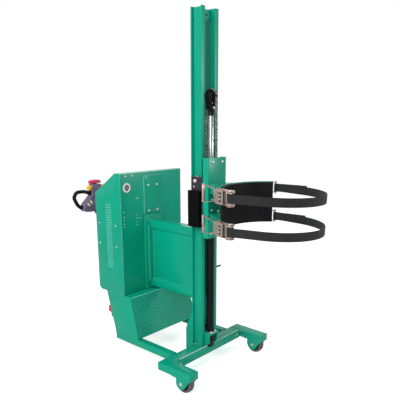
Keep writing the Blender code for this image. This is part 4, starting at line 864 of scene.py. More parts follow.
def buildSpool(place, word):
    r = ratchet
    reach = r["half"] + r["plate"] + 4
    bm = bmesh.new()
    half = polar(r["shaft"] - 0.2, 6, 174, 12)
    for flip in (1, -1):
        addSoftPrism(bm, [(x * flip, y * flip) for x, y in half], place, -reach, reach, 0.3, (), 60)
    teeth = []
    for i in range(11):
        start = 360 * i / 11
        teeth += polar(23, start, start + 3, 1) + polar(19, start + 20, start + 23, 1)
    for low in (-r["half"] + r["plate"] + 1.5, r["half"] - r["plate"] - 4.5):
        addSoftPrism(bm, teeth, place, low, low + 3, 0.3, (), 70)
    for side in (-1, 1):
        end = place @ Matrix.Translation((0, 0, side * (r["half"] + 4.8) / 1000))
        addLathe(bm, end, [(0, -0.6), (11, -0.6), (11.4, 0), (11, 0.7), (8.1, 0.9), (0, 0.9)], 24)
        addTube(bm, [inPlace(place, x, 0, side * (reach - 1.4)) for x in (-11, -6, 6, 11)], 0.0011, 8)
    finishPiece("spool" + word, bm, word.lower() + "_spool", zinc, ["ratchet_spool_" + word.lower()], 30)
    bm = bmesh.new()  # the wound webbing, its end faces ridged turn by turn
    layer = bm.loops.layers.uv.new("strapLength")
    count, turns = 72, 5
    radii = [8.3 + (r["roll"] - 8.3) * k / (turns * 2) for k in range(turns * 2 + 1)]
    side = [(radius, 25 - (0.9 if k % 2 == 0 else 0)) for k, radius in enumerate(radii)]
    profile = [(radius, -z) for radius, z in side] + [(radius, z) for radius, z in reversed(side)]
    rings = []
    for radius, z in profile:
        ring = []
        for i in range(count):
            angle = 2 * pi * i / count
            swell = radius + 0.5 * (radius / r["roll"]) * sin(angle * 2 + 0.6) + 0.9 * (i / count - 0.5)
            ring.append(bm.verts.new(inPlace(place, swell * cos(angle), swell * sin(angle), z)))
        rings.append(ring)
    for (a, first), (b, second) in zip(zip(rings, profile), zip(rings[1:] + rings[:1], profile[1:] + profile[:1])):
        for i in range(count):
            j = (i + 1) % count
            face = bm.faces.new((a[i], a[j], b[j], b[i]))
            corners = ((i, *first), (i + 1, *first), (i + 1, *second), (i, *second))
            for loop, (step, radius, z) in zip(face.loops, corners):
                loop[layer].uv = (step / count * 119, z + 25 + radius * 0.2)
    finishPiece("strapRoll" + word, bm, word.lower() + "_spool", webbing, (), 50)


def buildRatchets():
    for level, word in ((1222, "Upper"), (1040, "Lower")):
        place = ratchetPlace(level)
        buildRatchetFrame(place, word)
        buildRatchetHandle(place, word)
        buildSpool(place, word)


# Straps: flat webbing from the near spool, round the front, to the far pin

strap = {"drumRadius": 286.0, "drumY": -568.0, "width": 50.0, "thickness": 2.6, "sag": 12.0, "spoolDistance": 30.0,
         "spoolAngle": 75.0, "lugAngle": 57.0, "lugRadius": 330.8, "spoolRadius": 19.0, "pinRadius": 6.0}


def onDrum(radius, angle):
    return Vector((-radius * sin(angle), strap["drumY"] + radius * cos(angle), 0))


def drumPoint(radius, degrees):
    return onDrum(radius, radians(degrees)).xy[:]


def strapPath():
    # Tangent off the outside of the roll, round the drum's front, round the far pin and back on itself
    radius = strap["drumRadius"] + 2.0
    spoolAngle, lugAngle = radians(strap["spoolAngle"]), radians(strap["lugAngle"])
    distance = strap["drumRadius"] + strap["spoolDistance"]
    roll = strap["spoolRadius"] + 1.6
    nearTouch = spoolAngle + asin((distance ** 2 - (radius - roll) ** 2) ** 0.5 / distance)
    pinRoll = strap["pinRadius"] + 1.8
    farOpen = acos((radius - pinRoll) / strap["lugRadius"])
    farTouch = 2 * pi - lugAngle - farOpen
    path = [onDrum(radius, nearTouch + (farTouch - nearTouch) * i / 90) for i in range(91)]
    spool = onDrum(distance, spoolAngle)
    pin = onDrum(strap["lugRadius"], -lugAngle)
    outward = (path[0] - Vector((0, strap["drumY"], 0))).normalized()
    start = spool + outward * roll
    straight = [start.lerp(path[0], i / 5) for i in range(5)]
    leaving = (path[-1] - Vector((0, strap["drumY"], 0))).normalized()
    away = [path[-1].lerp(pin + leaving * pinRoll, i / 5) for i in range(1, 6)]
    first = atan2(leaving.y, leaving.x)
    turns = [first + radians(18 * i) for i in range(1, 11)]
    eye = [pin + Vector((cos(a), sin(a), 0)) * pinRoll for a in turns]
    back = [eye[-1].lerp(path[-6] - leaving * 3.2, i / 6) for i in range(1, 7)]
    return straight + path + away + eye + back


def addRibbon(bm, uvLayer, path, levels, width, thickness):
    # A strip along path with a rounded selvedge; UV holds millimetres along and across
    across = [0.0, 0.8, 2.0] + [width * i / 10 for i in range(1, 10)] + [width - 2.0, width - 0.8, width]
    thin = [0.35, 0.8, 1.0] + [1.0] * 9 + [1.0, 0.8, 0.35]
    rows = []
    for (length, point, tangent), drop in zip(walk(path), levels):
        out = Vector((tangent.y, -tangent.x, 0))
        outer, inner = [], []
        for w, t in zip(across, thin):
            ripple = 0.35 * sin(length / 37.0 + w / 21.0) * sin(length / 90.0)
            centre = point + out * ripple
            z = drop - width / 2 + w
            outer.append((bm.verts.new(at(*(centre + out * thickness / 2 * t).xy, z)), length, w))
            inner.append((bm.verts.new(at(*(centre - out * thickness / 2 * t).xy, z)), length, w))
        rows.append(outer + list(reversed(inner)))
    count = len(rows[0])
    for a, b in zip(rows, rows[1:]):
        for k in range(count):
            j = (k + 1) % count
            face = bm.faces.new((a[k][0], b[k][0], b[j][0], a[j][0]))
            for loop, source in zip(face.loops, (a[k], b[k], b[j], a[j])):
                loop[uvLayer].uv = (source[1], source[2])
    for row in (rows[0], rows[-1]):
        face = bm.faces.new([v[0] for v in row])
        for loop, source in zip(face.loops, row):
            loop[uvLayer].uv = (source[1], source[2])


def buildStraps():
    path = strapPath()
    lengths = [length for length, point, tangent in walk(path)]
    for level, word in ((1222, "upper"), (1040, "lower")):
        drops = [level - strap["sag"] * sin(pi * s / lengths[-1]) ** 2 for s in lengths]
        bm = bmesh.new()
        uvLayer = bm.loops.layers.uv.new("strapLength")
        addRibbon(bm, uvLayer, path, drops, strap["width"], strap["thickness"])
        name = "strap" + word.capitalize()
        piece = finishPiece(name, bm, "carriage", webbing, ["strap_" + word], 50)


buildChain()
buildCylinder()
buildMast()
buildYoke()
buildFrontWheels()
buildDriveWheel()
buildRatchets()
buildStraps()
print("chain, cylinder, wheels and straps ready")


# Base: two fork legs, the crossbeam with the cylinder's pedestal, and the side frames

base = {"low": 95.0, "top": 148.0, "legOuter": 409.0, "legWidth": 79.0, "legFront": -275.0, "legRear": -3.0,
        "beamDepth": 88.0, "cheek": 8.0, "pocketRear": -123.0, "lobe": 38.0, "railOuter": 285.0, "railWidth": 50.0,
        "railLow": 103.0, "railTop": 151.0, "railRear": 556.0, "housingFoot": 444.7, "slopeTop": 388.0,
        "slopeFoot": 318.0}
betweenCheeks = base["railOuter"] - base["cheek"] - gap  # half the clear width


def cheekEdge(z):  # Y of the sloped front edge of the side frames
    share = (base["housingFoot"] - z) / (base["housingFoot"] - base["railTop"])
    return base["slopeTop"] + (base["slopeFoot"] - base["slopeTop"]) * share


def buildLegs():
    b = base
    for side, word in bothSides:
        x0, x1 = sorted((side * b["legOuter"], side * (b["legOuter"] - b["legWidth"])))
        bm = bmesh.new()
        tube = rectangle(x0, b["low"], x1, b["top"], 6)
        bore = rectangle(x0 + 6, b["low"] + 6, x1 - 6, b["top"] - 6, 3)
        addPrism(bm, tube, acrossY(b["legRear"]), 0, b["legRear"] - b["pocketRear"], [bore])
        roof = b["top"] - 6
        fork = [(x0, b["low"]), (x0, b["top"]), (x1, b["top"]), (x1, b["low"]), (x1 - 8, b["low"]), (x1 - 8, roof),
                (x0 + 8, roof), (x0 + 8, b["low"])]
        fork = roundCorners(fork, [1, 6, 6, 1, 1, 3, 3, 1], 4)
        addPrism(bm, fork, acrossY(b["pocketRear"]), 0, b["pocketRear"] - b["legFront"] - 3.5)
        addSoftPrism(bm, rectangle(x0, b["low"] + 3, x1, b["top"], 6), acrossY(b["legFront"] + 6), 0, 6, 2.2, (), 60)
        y, z = frontWheel["y"], frontWheel["z"]
        outline = [(y + 46, 112), (y + 44, 101)] + polar(b["lobe"], 18, -142, 16, (y + 3, z))
        outline += [(y - 66, 97), (y - 68, 112)]
        for face in (x0 + 0.25, x1 - b["cheek"]):
            addSoftPrism(bm, outline, acrossX, face, face + b["cheek"] - 0.25, 1.0)
        corner = side * (b["legOuter"] - b["legWidth"])
        addWeld(bm, [(corner, -b["beamDepth"], b["low"] + 6), (corner, -b["beamDepth"], b["top"] + 0.4),
                     (corner, -5, b["top"] + 0.4)], 3.0)
        finishPiece("forkLeg" + word.capitalize(), bm, "chassis", greenPaint, ["leg_" + word], 30)
    bm = bmesh.new()
    for side in (-1, 1):
        y, z = frontWheel["y"], frontWheel["z"]
        addBolt(bm, at(side * b["legOuter"], y, z), (side, 0, 0), 10.5)
        addBolt(bm, at(side * (b["legOuter"] - b["legWidth"]), y, z), (-side, 0, 0), 10)
        spindle = facing(at(side * frontWheel["x"], y, z))
        addLathe(bm, spindle, [(0, -39), (8, -39), (8, 39), (0, 39)], 20)
        for spacer in (-39, 28.5):
            addRing(bm, spindle, rectangle(8.2, spacer, 12, spacer + 2.6), 20)
        addBolt(bm, at(side * 297, -94, 121), (0, -1, 0), 6)
    finishPiece("axleBolts", bm, "chassis", zinc)


def buildBeam():
    b = base
    half = b["legOuter"] - b["legWidth"] - gap
    depth = b["beamDepth"]
    bm = bmesh.new()
    tube = rectangle(-depth, b["low"], 0, b["top"], 5)
    addPrism(bm, tube, acrossX, -half, half, [rectangle(6 - depth, b["low"] + 6, -6, b["top"] - 6, 3)])
    addSoftPrism(bm, rectangle(-depth - 6, b["low"] + 0.4, 0.8 - depth, b["top"] + 8, 1.2, 2), acrossX, 12 - half,
                 half - 12, 0.8)
    addWeld(bm, [(14 - half, 1.5 - depth, b["top"] + 1), (half - 14, 1.5 - depth, b["top"] + 1)], 2.6)
    for side in (-1, 1):
        corner = side * half
        outline = [(corner, -depth - 22), (corner, 1 - depth), (corner - side * 26, 1 - depth)]
        addSoftPrism(bm, outline, acrossZ, b["top"] - 12, b["top"] - 2, 1.0, (), 40)
    top = 243.7  # the pedestal: seat, two walls, back and the tie up the mast
    addSoftPrism(bm, rectangle(-44.7, -122, 44.7, -22, 3), acrossZ, top - 10, top, 1.2)
    wall = [(-116, b["top"] + 28), (4 - depth, b["top"] - 1), (-22, b["top"] - 1), (-22, top - 9), (-116, top - 9)]
    for side in (-1, 1):
        addSoftPrism(bm, roundCorners(wall, [6, 2, 1, 1, 1], 3), acrossX, side * 36.7, side * 44.5, 1.0)
    under, seat = top - 10.4, b["top"] + 0.8
    addBeads(bm, ((44.2, -112, under, 44.2, -24, under, 2.2), (44.2, 4 - depth, seat, 44.2, -24, seat, 2.4)))
    addSoftPrism(bm, rectangle(-37.7, -32, 37.7, -12), acrossZ, b["top"] - 1, top - 9, 0.8)
    addSoftPrism(bm, rectangle(-44.7, -20, 44.7, 8), acrossZ, b["top"] - 1, 300, 1.2)
    finishPiece("baseBeam", bm, "chassis", greenPaint, ["crossbeam"], 30)
    bm = bmesh.new()  # the lip's top, a strip of pale paint: a painted highlight
    addSoftPrism(bm, rectangle(-depth - 6.6, b["top"] + 4.5, 0.9 - depth, b["top"] + 8.5, 1.2, 2), acrossX, 30 - half,
                 half - 30, 0.6)
    finishPiece("lipHighlight", bm, "chassis", scuffedPaint, (), 30)
    bm = bmesh.new()  # port block of the lift cylinder under its seat
    addSoftPrism(bm, rectangle(-35, -116, 6, -62, 4), acrossZ, b["top"] + 1, 233.4, 2.0)
    addBolt(bm, at(-15, -116, 196), (0, -1, 0), 9)
    finishPiece("portBlock", bm, "chassis", blackPaint, (), 30)


def buildSideFrames():
    b = base
    for side, word in bothSides:
        x0, x1 = sorted((side * b["railOuter"], side * (b["railOuter"] - b["railWidth"])))
        bm = bmesh.new()
        rail = rectangle(x0, b["railLow"], x1, b["railTop"], 5)
        bore = rectangle(x0 + 5, b["railLow"] + 5, x1 - 5, b["railTop"] - 5, 3)
        addPrism(bm, rail, acrossY(b["railRear"]), 0, b["railRear"] - gap, [bore])
        top = b["housingFoot"]
        cheek = [(cheekEdge(top), top), (b["slopeFoot"], b["railTop"]), (330, 109), (550, 109), (563, 169), (643, top)]
        addSoftPrism(bm, roundCorners(cheek, [2, 6, 4, 8, 24, 2], 4), acrossX, side * (b["railOuter"] - b["cheek"]),
                     side * (b["railOuter"] - 0.2), 1.0)
        seam, level = b["railOuter"] - b["cheek"] - 1, b["railTop"] + 0.6
        beads = [(seam, 336, level, seam, 556, level, 2.6)]
        for x in (b["railOuter"] - 4, b["railOuter"] - b["railWidth"] + 4):
            beads.append((x, 1.2, b["railTop"] - 3, x, 1.2, b["railLow"] + 3, 2.4))
        addBeads(bm, beads, (side,))
        finishPiece("sideFrame" + word.capitalize(), bm, "chassis", greenPaint, ["side_frame_" + word], 30)


def buildBallast():
    half = betweenCheeks
    top, foot, ribs, depth = base["housingFoot"], base["railTop"] + 6, 22, 5.0
    step = (top - foot) / ribs
    front = []
    for i in range(ribs):
        z = foot + i * step
        y = cheekEdge(z) + depth + 1
        front += [(y, z), (y - depth * 0.9, z + step * 0.26), (y - depth, z + step * 0.36),
                  (y - depth * 0.85, z + step * 0.48)]
    under, floor, rear = 284.7, base["railTop"] + gap, base["railRear"] - 4
    outline = front + [(cheekEdge(top) + 1, top), (514, top), (514, top - 12), (cheekEdge(top) + 60, top - 60),
                       (cheekEdge(under) + 90, under), (rear, under), (rear, floor),
                       (cheekEdge(base["railTop"]) + 14, floor)]
    bm = bmesh.new()
    addSoftPrism(bm, outline, acrossX, -half, half, 0.35, (), 24)
    for face in bm.faces:  # the ridges' tips take a lighter paint: a painted highlight
        centre = face.calc_center_median() * 1000
        y, z = centre.y - originShift, centre.z
        tip = cheekEdge(z) + depth + 1 - y > depth * 0.86
        face.material_index = int(tip and foot < z < top - 2 and abs(centre.x) < half - 0.5)
    finishPiece("ballast", bm, "chassis", (greenPaint, ridgeHighlightPaint), ["counterweight"], 24)


# Spine between the mast and the housing: two bars, the posts and the web plate

spine = {"front": 12.3, "rear": 453.7, "half": 40.0, "upper": (888.0, 948.0), "lower": (455.0, 530.0),
         "postHalf": 86.0, "postTop": 988.0, "webHalf": 28.0}


def buildSpine():
    s = spine
    bm = bmesh.new()
    bars = acrossY(s["rear"] - 11)
    for (low, high), radius in ((s["upper"], 8), (s["lower"], 24)):
        addPrism(bm, rectangle(-s["half"], low, s["half"], high, radius, 6), bars, 0, s["rear"] - 11 - s["front"])
    addSoftPrism(bm, rectangle(-s["postHalf"], s["lower"][0] - 8, s["postHalf"], s["postTop"], 3), acrossY(s["rear"]),
                 0, 12, 1.5)
    addSoftPrism(bm, rectangle(-60, 500, 60, 918, 3), acrossY(s["rear"] - 11), 0, 15, 1.5)
    addSoftPrism(bm, rectangle(-34, 500, 34, 918, 2), acrossY(s["front"] + 10), 0, 10, 1.0)
    addSoftPrism(bm, rectangle(-s["webHalf"], 510, s["webHalf"], 908), acrossY(s["rear"] - 20), 0,
                 s["rear"] - 25 - s["front"], 0.6)
    web, face, seam = s["webHalf"] + 1, s["half"] + 0.5, s["rear"] - 13
    (low, high), under = s["upper"], s["lower"][1]
    beads = ((web, 30, low - 0.5, 424, low - 0.5, 1.5), (web, 424, low - 4, 424, under + 4, 1.5),
             (web, 24, low - 4, 24, under + 4, 1.5), (face, 14, low + 8, 14, high - 8, 1.5),
             (face, seam, low + 8, seam, high - 6, 1.8))
    addBeads(bm, [(x, y0, z0, x, y1, z1, radius) for x, y0, z0, y1, z1, radius in beads])
    addWeld(bm, [(6 - s["half"], seam, high + 0.5), (s["half"] - 6, seam, high + 0.5)], 1.8)
    finishPiece("spineFrame", bm, "chassis", greenPaint, ["spine_frame"], 30)


# Housing: one folded sheet, two side panels with pressed louvres, cover plates

housing = {"half": 285.0, "sheet": 3.0, "front": 454.0, "rear": 723.0, "bottom": 445.0, "top": 1286.0, "bendY": 505.0,
           "bendZ": 1138.0, "corner": 20.0, "louvres": 26, "pitch": 17.4, "louvreTop": 1064.0, "louvreY": 585.0,
           "louvreHalf": 28.0, "slot": 4.0, "press": 5.0}


def housingOutline(inset, radius):
    h = housing
    top, low, front, rear = h["top"] - inset, h["bottom"] + inset, h["front"] + inset, h["rear"] - inset
    points = [(front, low), (rear - h["corner"], low), (rear, low + h["corner"]), (rear, h["bendZ"] - inset * 0.4),
              (h["bendY"] - inset * 0.4, top), (front, top)]
    return roundCorners(points, radius, 3)


def buildHousingShell():
    h = housing
    half = h["half"] - h["sheet"] - gap
    bm = bmesh.new()
    addPrism(bm, housingOutline(0, 3.0), acrossX, -half, half, [housingOutline(h["sheet"], 1.0)])
    addSoftPrism(bm, rectangle(-79, 992, 86, 1257, 3), acrossY(h["front"] + 0.5), 0, 6.3, 0.9)
    bm.normal_update()
    for face in bm.faces:  # the front bend's top takes the pale paint: a painted highlight
        centre, normal = face.calc_center_median() * 1000, face.normal
        onBend = centre.z > h["top"] - 3.5 and centre.y - originShift < h["front"] + 3.6
        face.material_index = int(onBend and normal.z > 0.2 and normal.y < 0)
    finishPiece("housingShell", bm, "chassis", (housingPaint, scuffedPaint), ["housing_shell"], 30)
    bm = bmesh.new()  # door of the pack on the rear wall
    back = Matrix.Translation(at(0, h["rear"], 0)) @ swapYZ
    addSoftPrism(bm, rectangle(-262, 486, 262, 1112, 8), back, 0, 1.6, 0.5)
    finishPiece("rearDoor", bm, "chassis", housingPaint, (), 30)


def addLouvre(bm, side, z):
    # A pressed hood: fullest at its lower lip, which stands open, and closed in a curve at both ends
    h = housing
    columns, rows = 14, 6
    outer, inner = [], []
    for i in range(columns + 1):
        u = -1 + 2 * i / columns
        full = max(0.0, 1 - abs(u) ** 4) ** 0.5
        for j in range(rows + 1):
            t = j / rows
            out = h["press"] * full * sin(t * pi / 2) ** 1.2
            level = z + 0.6 + (h["slot"] + 3.4) * (1 - t)
            y = h["louvreY"] + h["louvreHalf"] * u
            outer.append(bm.verts.new(at(side * (h["half"] - 0.2 + out), y, level)))
            inner.append(bm.verts.new(at(side * (h["half"] - 0.6 + max(0.0, out - 1.1)), y, level - 0.3)))
    width = rows + 1
    for i in range(columns):
        for j in range(rows):
            k = i * width + j
            # the hood's outer faces take the lighter paint: a painted highlight
            bm.faces.new((outer[k], outer[k + 1], outer[k + width + 1], outer[k + width])).material_index = 1
            bm.faces.new((inner[k], inner[k + width], inner[k + width + 1], inner[k + 1]))
        a, b = i * width + rows, (i + 1) * width + rows
        bm.faces.new((outer[a], inner[a], inner[b], outer[b]))
        bm.faces.new((outer[i * width], outer[b - rows], inner[b - rows], inner[i * width]))
    for i in (0, columns):
        for j in range(rows):
            k = i * width + j
            bm.faces.new((outer[k], inner[k], inner[k + 1], outer[k + 1]))


def buildSidePanels():
    h = housing
    slots = []
    for i in range(h["louvres"]):
        z = h["louvreTop"] - i * h["pitch"]
        slots.append(rectangle(h["louvreY"] - h["louvreHalf"], z, h["louvreY"] + h["louvreHalf"], z + h["slot"]))
    for side, word in bothSides:
        bm = bmesh.new()
        addSoftPrism(bm, housingOutline(0, 3.0), acrossX, side * (h["half"] - h["sheet"]), side * h["half"], 0.6, slots,
                     60)
        for i in range(h["louvres"]):
            addLouvre(bm, side, h["louvreTop"] - i * h["pitch"])
        finishPiece("sidePanel" + word.capitalize(), bm, "chassis", (housingPaint, louvreHighlightPaint),
                    ["side_panel_" + word], 30)


# Charge gauge in the front wall: bezel, recessed dial with ticks and a needle

gauge = {"x": -228.0, "z": 1189.0, "ring": 32.5, "dial": 19.5, "ticks": 11}


def buildGauge():
    g = gauge
    place = facing(at(g["x"], 454, g["z"]), (0, -1, 0))
    bm = bmesh.new()
    r, dial = g["ring"], g["dial"]
    bezel = [(dial, 2), (dial, 0.3), (r - 0.6, 0.3), (r, 1.4), (r - 1, 4.0), (r - 3.2, 5.4), (dial + 4, 5.2),
             (dial + 1, 4.2)]
    addRing(bm, place, bezel, 56)
    finishPiece("gaugeBezel", bm, "chassis", dialPlastic, ["battery_gauge"])
    bm = bmesh.new()
    cup = [(0, -28), (22, -28), (23.8, -26), (23.8, 0), (dial + 0.4, 0), (dial + 0.4, 2.2), (0, 2.2)]
    addLathe(bm, place, cup, 48)
    finishPiece("gaugeDial", bm, "chassis", dialFace)
    bm = bmesh.new()
    for i in range(g["ticks"]):
        angle = radians(215 - 250 * i / (g["ticks"] - 1))
        length, half = (4.6, 0.55) if i % 5 == 0 else (3.0, 0.35)
        tick = rectangle(dial - 1.6 - length, -half, dial - 1.6, half)
        addPrism(bm, tick, place @ Matrix.Rotation(angle, 4, "Z"), 2.1, 2.5)
    addPrism(bm, [(-5, -0.9), (16, -0.25), (16, 0.25), (-5, 0.9)], place @ Matrix.Rotation(radians(70), 4, "Z"), 3.0,
             3.5)
    addLathe(bm, place, [(0, 2.0), (2.6, 2.0), (2.6, 3.9), (1.8, 4.4), (0, 4.4)], 20)
    finishPiece("gaugeMarks", bm, "chassis", creamPlastic)


# Drive unit behind the cheeks

drive = {"y": 765.0, "deck": 295.0, "deckThick": 10.0, "skirt": 129.0, "skirtLow": 150.0, "skirtWall": 5.0,
         "neck": 50.0, "fins": 40, "pivotY": 835.0, "pivotZ": 470.0, "earInner": 27.0, "earOuter": 36.0,
         "earRadius": 22.0}


def buildRearDeck():
    d = drive
    half = betweenCheeks
    edge = polar(d["skirt"], -20, 200, 40, (0, d["y"]))
    outline = [(-half, 470), (half, 470), (half, 588)] + edge + [(-half, 588)]
    bm = bmesh.new()
    addSoftPrism(bm, outline, acrossZ, d["deck"] - d["deckThick"], d["deck"], 1.0,
                 [circlePoints(0, d["y"], d["neck"] + 1, 48)], 50)
    seam, level = half - 0.5, d["deck"] + 0.5
    addBeads(bm, ((seam, 476, level, seam, 584, level, 2.6),))
    finishPiece("rearDeck", bm, "chassis", greenPaint, ["rear_deck"], 30)
    bm = bmesh.new()
    r, low = d["skirt"], d["skirtLow"]
    wall, top = r - d["skirtWall"], d["deck"] - d["deckThick"] - gap
    skirt = [(wall, low + 1), (wall + 1, low), (r - 1, low), (r, low + 1), (r, top), (wall, top)]
    addRing(bm, upright(0, d["y"]), skirt, 72)
    bead = [(x, y, top + 0.2) for x, y in polar(d["skirt"] - 0.5, 0, 360, 90, (0, d["y"]))]
    addWeld(bm, bead, 2.0)
    finishPiece("wheelSkirt", bm, "chassis", greenPaint, ["wheel_skirt"], 30)


def buildDriveUnit():
    d = drive
    up = upright(0, d["y"])
    bm = bmesh.new()
    addLathe(bm, up, [(0, 295.3), (54, 295.3), (58, 298), (58, 312), (55, 315), (54.5, 316), (54.5, 404), (58, 407),
                      (58, 418), (55, 423), (50, 425), (0, 425)], 64)
    fins = []
    for i in range(d["fins"]):
        start = 360 * i / d["fins"]
        fins += polar(55, start, start + 3.6, 1) + polar(58, start + 4.6, start + 7.4, 1)
    addSoftPrism(bm, fins, up, 316, 403, 0.4, (), 80)
    addLathe(bm, up, [(0, 276.7), (d["neck"], 276.7), (d["neck"], 297), (0, 297)], 48)
    addLathe(bm, up, [(0, 258.7), (62, 258.7), (66, 261), (66, 283), (64, 284.7), (0, 284.7)], 60)
    case = roundCorners([(719, 70), (811, 70), (811, 264.7), (719, 264.7)], [44, 44, 12, 12], 8)
    addSoftPrism(bm, case, acrossX, 41, 71, 3.0)
    addSoftPrism(bm, roundCorners([(727, 78), (803, 78), (803, 190), (727, 190)], [37, 37, 20, 20], 8), acrossX, 70,
                 73.5, 1.2)
    hub = facing(at(0, d["y"], driveWheel["radius"]))
    addLathe(bm, hub, [(0, -39), (13, -39), (15, -37), (15, 43), (0, 43)], 32)
    shelf = rectangle(-d["earOuter"], d["y"] - 22, d["earOuter"], d["pivotY"] + d["earRadius"], 3)
    addSoftPrism(bm, shelf, acrossZ, 421, 437, 1.5)
    for side in (-1, 1):
        ear = [(d["pivotY"] - d["earRadius"], 430), (d["pivotY"] + d["earRadius"], 430)]
        ear += polar(d["earRadius"], 0, 180, 20, (d["pivotY"], d["pivotZ"]))
        addSoftPrism(bm, ear, acrossX, side * d["earInner"], side * d["earOuter"], 1.2)
    seam = d["earOuter"] + 0.4
    addBeads(bm, ((seam, d["pivotY"] - 20, 437.4, seam, d["pivotY"] + 20, 437.4, 2.2),))
    finishPiece("driveUnit", bm, "steered_drive", blackPaint, ["drive_unit"], 30)
    bm = bmesh.new()
    pin = facing(at(0, d["pivotY"], d["pivotZ"]))
    addLathe(bm, pin, mirrored([(0, -38), (8.5, -38), (9.8, -37)]), 28)
    for i in range(6):
        angle = radians(30 + 60 * i)
        addBolt(bm, at(73.6, d["y"] + 30 * cos(angle), 117 + 30 * sin(angle)), (1, 0, 0), 4.5, False, True)
        if abs(cos(angle)) > 0.5:  # clear of the shelf for the arm
            addBolt(bm, at(46 * cos(angle), d["y"] + 46 * sin(angle), 425), (0, 0, 1), 4.0, False, True)
    addBolt(bm, at(0, d["y"] - 40, 425), (0, 0, 1), 4.0, False, True)
    finishPiece("driveFixings", bm, "steered_drive", zinc)


# Tiller: knuckle, arm, moulded head, hand loops and its switches

tiller = {"armEndY": 1106.0, "armEndZ": 960.0, "arm": 18.0, "front": 1080.0, "depth": 60.0, "foot": 930.0,
          "top": 1142.0, "stem": 45.0, "flare": 110.0, "loop": 14.0, "loopReach": 194.0, "paddleZ": 1113.0}


def headZ(share):
    return tiller["foot"] + share * (tiller["top"] - tiller["foot"])


def addPillow(bm, outline, place, layers):
    # A closed outline drawn in by each layer's inset, at each layer's height: a moulded, rounded block
    count = len(outline)
    area = sum(a[0] * b[1] - b[0] * a[1] for a, b in zip(outline, outline[1:] + outline[:1]))
    sign = 1 if area > 0 else -1
    normals = []
    for i in range(count):
        along = Vector(outline[(i + 1) % count]) - Vector(outline[i - 1])
        normals.append(Vector((along.y, -along.x)).normalized() * sign)
    rings = []
    for inset, height in layers:
        rings.append([bm.verts.new(inPlace(place, x - normal.x * inset, y - normal.y * inset, height))
                      for (x, y), normal in zip(outline, normals)])
    bridge(bm, rings)


def smoothLoop(points, steps):
    result = []
    for i in range(len(points)):
        four = [Vector(points[(i + k) % len(points)]) for k in (-1, 0, 1, 2)]
        result += [tuple(between(*four, j / steps)) for j in range(steps)]
    return result


def buildTillerArm():
    t, d = tiller, drive
    pin = facing(at(0, d["pivotY"], d["pivotZ"]))
    start, end = Vector((0, d["pivotY"], d["pivotZ"])), Vector((0, t["armEndY"], t["armEndZ"]))
    along = (end - start).normalized()
    bm = bmesh.new()
    addRing(bm, pin, mirrored([(10.3, -26), (22.5, -26), (24, -24.5)]), 48)
    path = [at(*(start + along * s)) for s in (20, 60, 200, (end - start).length)]
    addTube(bm, path, t["arm"] / 1000, 32)
    addRing(bm, facing(at(*(start + along * 21)), along), [(17, 0), (22, 1), (20, 5), (18.2, 8), (17, 8)], 40)
    finishPiece("tillerArm", bm, "tiller", blackPaint, ["tiller_arm"], 30)
    bm = bmesh.new()  # ribbed boot between arm and head
    boot = facing(at(*(end - along * 52)), along)
    profile = [(18.2, 0), (21, 1)]
    for i in range(4):
        profile += [(24.5, 4 + 7 * i), (24.5, 6.5 + 7 * i), (21.5, 8.5 + 7 * i), (21.5, 9.5 + 7 * i)]
    addRing(bm, boot, profile + [(26, 34), (26, 44), (18.2, 44)], 40)
    finishPiece("armBoot", bm, "tiller", blackRubber)


def buildTillerHead():
    t = tiller
    shares = ((26, 0), (70, 0), (112, 0.03), (127, 0.1), (126, 0.22), (110, 0.34), (82, 0.46), (56, 0.58), (46, 0.66),
              (45, 0.82), (44, 0.94), (32, 1))
    half = [(x, headZ(share)) for x, share in shares]
    outline = smoothLoop(half + [(-x, z) for x, z in reversed(half)], 4)
    place = acrossY(t["front"] + t["depth"])
    layers = [(9.5, 0), (5, 1.2), (2.2, 3.6), (0.6, 8), (0, 14), (0, 29.2), (0.9, 29.6), (0.9, 30.4), (0, 30.8),
              (0, 46), (0.6, 52), (2.2, 56.4), (5, 58.8), (9.5, 60)]
    bm = bmesh.new()
    addPillow(bm, outline, place, layers)
    front = acrossY(t["front"])
    addPillow(bm, rectangle(-30, headZ(0.28), 30, headZ(0.5), 8), front, [(0, -1), (0.4, 0.8), (1.6, 1.5)])
    finishPiece("tillerHead", bm, "tiller", headPlastic, ["tiller_head"], 40)
    bm = bmesh.new()
    for x, share in ((82, 0.2), (30, 0.88), (32, 0.5)):
        for side in (-1, 1):
            point = at(side * x, t["front"] + t["depth"] - 0.8, headZ(share))
            addBolt(bm, point, (0, 1, 0), 3.6, False, True)
    finishPiece("headScrews", bm, "tiller", blackPaint)


def keyPlaces():
    return [(-0.58 * tiller["flare"], headZ(0.37)), (-0.8 * tiller["flare"], headZ(0.29))]


def buildKeys():
    for (x, z), body, word in zip(keyPlaces(), ("raise_key", "lower_key"), ("lift", "lower")):
        face = facing(at(x, tiller["front"], z), (0, -1, 0)) @ Matrix.Rotation(radians(-46), 4, "Z")
        bm = bmesh.new()
        addLathe(bm, face, [(0, -8), (7.6, -8), (7.6, 4), (0, 4)], 24)
        cap = [(0.8, 3.6), (0, 4.2), (0, 5.6), (0.6, 6.6), (1.8, 7.0)]
        addPillow(bm, rectangle(-15, -8.4, 15, 8.4, 3.6), face, cap)
        finishPiece(word + "Key", bm, body, creamPlastic, [word + "_button"], 40)


